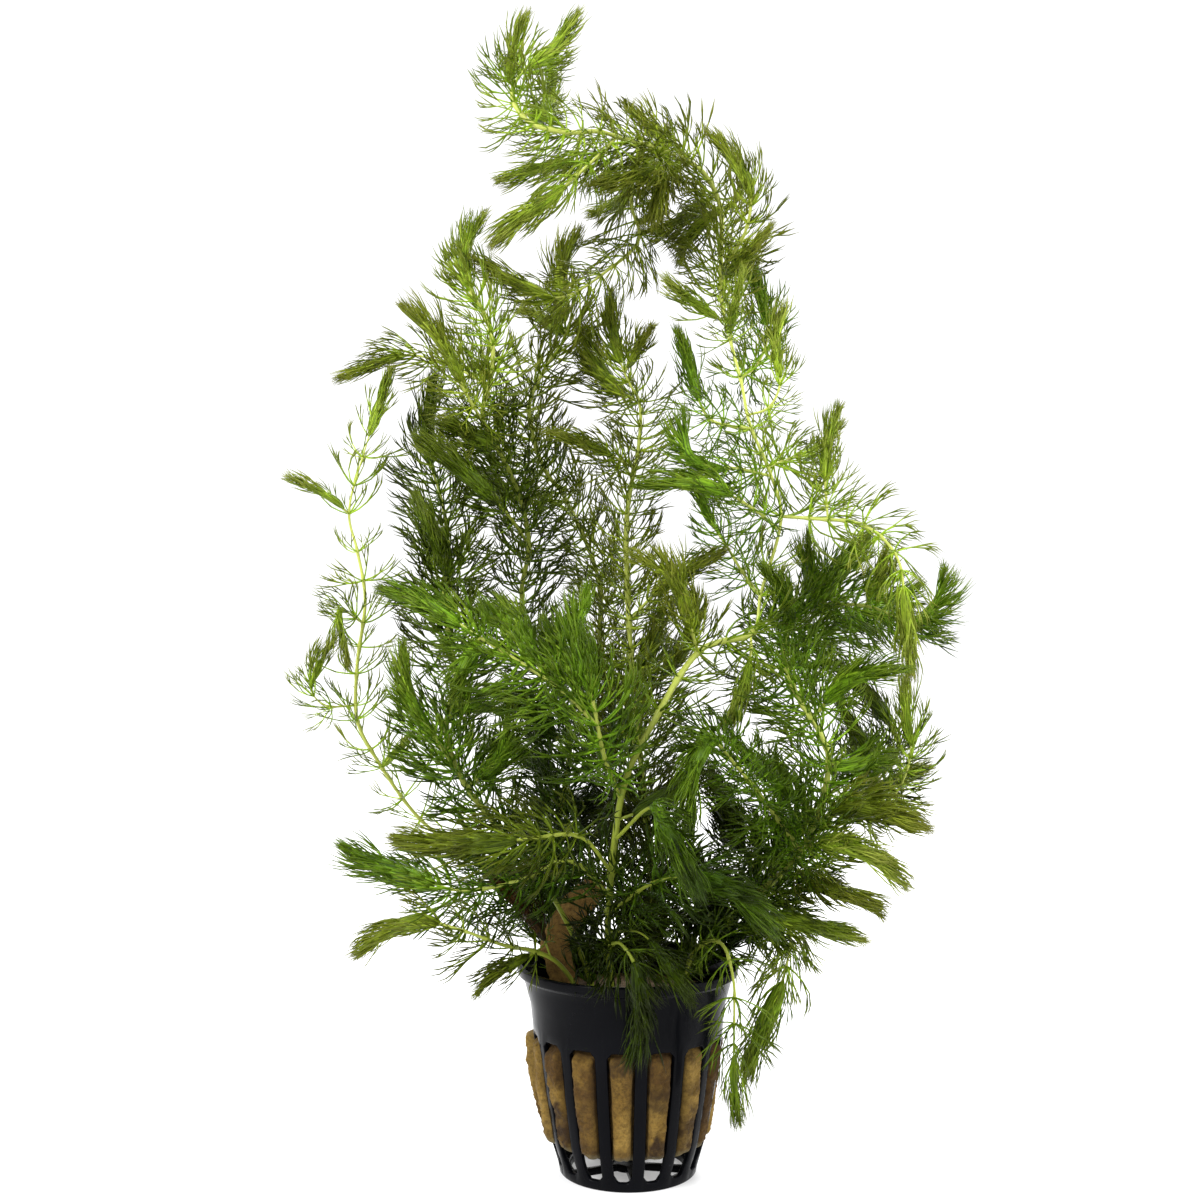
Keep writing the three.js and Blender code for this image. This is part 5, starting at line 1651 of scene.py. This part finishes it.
def stem_mesh(path, shoot, stations):
    """A tapered stem that swells a little at each whorl."""
    tipped = "brush" in shoot
    length = path.length - (1.5 if tipped else 0)
    rings = max(4, int(length / STEM_STEP))
    verts, faces = [], []
    normal = ANY_NORMAL
    for i in range(rings + 1):
        s = length * i / rings
        centre = path.at(s)
        normal, other = carried(normal, path.along(s))
        near = min(((centre - st["place"]).length for st in stations), default=9.0)
        swell = TIP_SWELL if tipped and s > length - 18 else WHORL_SWELL
        taper = 1 - (TIP_TAPER if tipped else STEM_TAPER) * smooth_step(0.2, 1, s / length)
        thick = STEM_SLIMNESS * shoot.get("thick", shoot["radius"]) * taper
        thick *= 1 + swell * math.exp(-(near / SWELL_REACH) ** 2)
        for k in range(STEM_SIDES):
            turn = 2 * math.pi * k / STEM_SIDES
            verts.append(centre + thick * (math.cos(turn) * normal + math.sin(turn) * other))
    for i in range(rings):
        faces += [ring_face(i, k, STEM_SIDES) for k in range(STEM_SIDES)]
    faces.append(tuple(reversed(range(STEM_SIDES))))
    faces.append(tuple(range(rings * STEM_SIDES, (rings + 1) * STEM_SIDES)))
    return verts, faces


def brush_core(path, shoot, seed):
    """The closed middle of a brush, where wet leaves lie together: a ridged spindle."""
    length = closed_length(path, shoot) + CORE_OVERLAP
    rings = int(length / CORE_STEP)
    verts, faces = [], []
    values = {"tone": [], "reach": [], "weave": []}
    normal = ANY_NORMAL
    for i in range(rings):
        share = i / rings
        s = path.length - length * (1 - share)
        centre = path.at(s)
        normal, other = carried(normal, path.along(s))
        swell = math.sin(math.pi * min(1.0, 0.08 + share ** 0.8)) ** 0.75
        for k in range(CORE_SIDES):
            turn = 2 * math.pi * k / CORE_SIDES + 0.5 * share
            ridge = 1 + 0.34 * noise.noise(Vector((k * 2.7, seed * 0.37, share * 3.0)))
            radius = max(shoot["brush"] * CORE_RADIUS * swell * ridge, 0.15)
            verts.append(centre + radius * (math.cos(turn) * normal + math.sin(turn) * other))
            tone = 1.6 * noise.noise(Vector((k * 3.9, seed * 0.71, share * 2.0)))
            values["tone"].append(tone)
            values["reach"].append(0.2 + 0.5 * share)
            values["weave"].append((math.cos(turn), math.sin(turn), seed + 0.03 * s))
    for i in range(rings - 1):
        faces += [ring_face(i, k, CORE_SIDES) for k in range(CORE_SIDES)]
    for ring, end, reach in ((0, length, 0.2), (rings - 1, 0.4, 0.7)):
        point = len(verts)
        verts.append(path.at(path.length - end))
        values["tone"].append(0.0)
        values["reach"].append(reach)
        values["weave"].append((0, 0, seed + 0.03 * (path.length - end)))
        for k in range(CORE_SIDES):
            a, b, _, _ = ring_face(ring, k, CORE_SIDES)
            faces.append((b, a, point) if ring == 0 else (a, b, point))
    return verts, faces, values


def stalk_object(name, parts, materials):
    """The stems and closed brushes of a shoot, with what their materials read."""
    verts, faces, kinds = [], [], []
    values = {"fresh": [], "hue": [], "tone": [], "reach": [], "weave": []}
    for tone, part_verts, part_faces, own in parts:
        first, count = len(verts), len(part_verts)
        fresh, hue = TONES[tone]
        lift = 0.0 if own else STALK_LIFT
        verts += part_verts
        faces += [tuple(first + i for i in face) for face in part_faces]
        kinds += [1 if own else 0] * len(part_faces)
        # Painted shade: stalks in the heart of the clump are made less fresh, so darker.
        values["fresh"] += [fresh + lift - PAINTED_HEART_SHADE * heart_at(v) for v in part_verts]
        values["hue"] += [hue] * count
        values["tone"] += own.get("tone", [0.0] * count)
        values["reach"] += own.get("reach", [0.2] * count)
        values["weave"] += own.get("weave", [(0.0, 0.0, 0.0)] * count)
    stem = mesh_object(f"{name}_stalk", verts, faces, materials)
    stem.data.polygons.foreach_set("material_index", kinds)
    for key, numbers in values.items():
        store(stem.data, key, "FLOAT_VECTOR" if key == "weave" else "FLOAT", numbers)
    return stem


def station_points(name, stations):
    """A point for each whorl, with what the whorl tree reads."""
    piece = mesh_object(f"grown_{name}", [st["place"] for st in stations], [])
    old = LEAF_SHAPES["old"]["count"]
    picked_from = {"old": (0, old - 1), "young": (old, old + LEAF_SHAPES["young"]["count"] - 1)}
    store(piece.data, "along", "FLOAT_VECTOR", [st["along"] for st in stations])
    for key in ("lift", "turn", "fresh", "hue", "loose"):
        store(piece.data, key, "FLOAT", [st[key] for st in stations])
    store(piece.data, "size", "FLOAT", [st["size"] * MM for st in stations])
    store(piece.data, "count", "INT", [st["count"] for st in stations])
    store(piece.data, "first", "INT", [picked_from[st["age"]][0] for st in stations])
    store(piece.data, "last", "INT", [picked_from[st["age"]][1] for st in stations])
    return piece


def grown_shoot(name, parts, tree, materials, seed):
    """One shoot with its fused buds as a single mesh: stem tubes, and whorls by the node tree."""
    tubes, stations = [], []
    for path, shoot, rooted, forks in parts:
        part_seed = seed + len(stations)
        own = whorl_stations(path, shoot, random.Random(part_seed), rooted, forks)
        tubes.append((shoot["tone"], *stem_mesh(path, shoot, own), {}))
        if "brush" in shoot:
            tubes.append((shoot["tone"], *brush_core(path, shoot, part_seed)))
        stations += own
    stem = stalk_object(name, tubes, materials)
    piece = station_points(name, stations)
    grow = piece.modifiers.new("whorls", "NODES")
    grow.node_group = tree
    sockets = {s.name: s.identifier for s in tree.interface.items_tree if s.in_out == "INPUT"}
    grow[sockets["Stem"]] = stem
    grow[sockets["Seed"]] = seed
    applied(piece)
    bpy.data.objects.remove(stem)
    return piece


def forks_on(name, path):
    """Distances along a shoot's stem at which its buds and its own shoots leave it."""
    shares = [bud["at"] for bud in SHOOTS[name].get("buds", ())]
    shares += [other["at"] for other in SHOOTS.values() if other.get("from") == name]
    return [share * path.length for share in shares]


def all_shoots(tree, materials):
    """Every shoot's piece by its name, the stems before what grows on them."""
    paths, pieces = {}, {}
    followers = {shoot["from"]: shoot for shoot in SHOOTS.values() if shoot.get("at") == 1}
    for number, (name, shoot) in enumerate(SHOOTS.items(), 1):
        parent = paths.get(shoot.get("from"))
        path = route_path(shoot, parent, followers.get(name))
        paths[name] = path
        parts = [(path, shoot, parent is None, forks_on(name, path))]
        habit = {key: shoot[key] for key in ("tone", "leaf", "spacing") if key in shoot}
        for bud in shoot.get("buds", ()):
            parts.append((route_path(bud, path), {**habit, **bud}, False, []))
        pieces[name] = grown_shoot(name, parts, tree, materials, 100 * number)
    return pieces


# ---- the whole object -----------------------------------------------------------------------
def main():
    make_camera()
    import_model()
    make_studio()

    black = pot_material()
    damp = wool_material("damp rockwool", ROCKWOOL_TANS, ROCKWOOL_STAIN_AND_SHADE, ROCKWOOL_FRINGE)
    brown = wool_material("brown wool", STRIP_BROWNS, STRIP_STAIN)
    made = [
        (net_pot(black), "net_pot", "pot_plastic"),
        (pot_base(black), "net_pot", "pot_plastic"),
        (rockwool_plug(damp), "rockwool_plug", "rockwool"),
        (wool_strip(brown), "wool_strip", "wool_strip"),
    ]

    families = (GREENS, OLIVES, BROWNS)
    leaf = plant_material("wet leaf", families, through_light=0.4)
    closed = plant_material("closed brush", families, through_light=0.25, woven=True)
    stalk = plant_material("wet stem", (STALKS,), through_light=0.15)
    pieces = all_shoots(whorl_tree(leaf_kinds(), leaf), (stalk, closed))
    for name, piece in pieces.items():
        made.append((piece, name, SLOT_OF_TONE[SHOOTS[name]["tone"]]))

    for piece, node, slot in made:
        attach(piece, "root")
        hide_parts(node)


main()
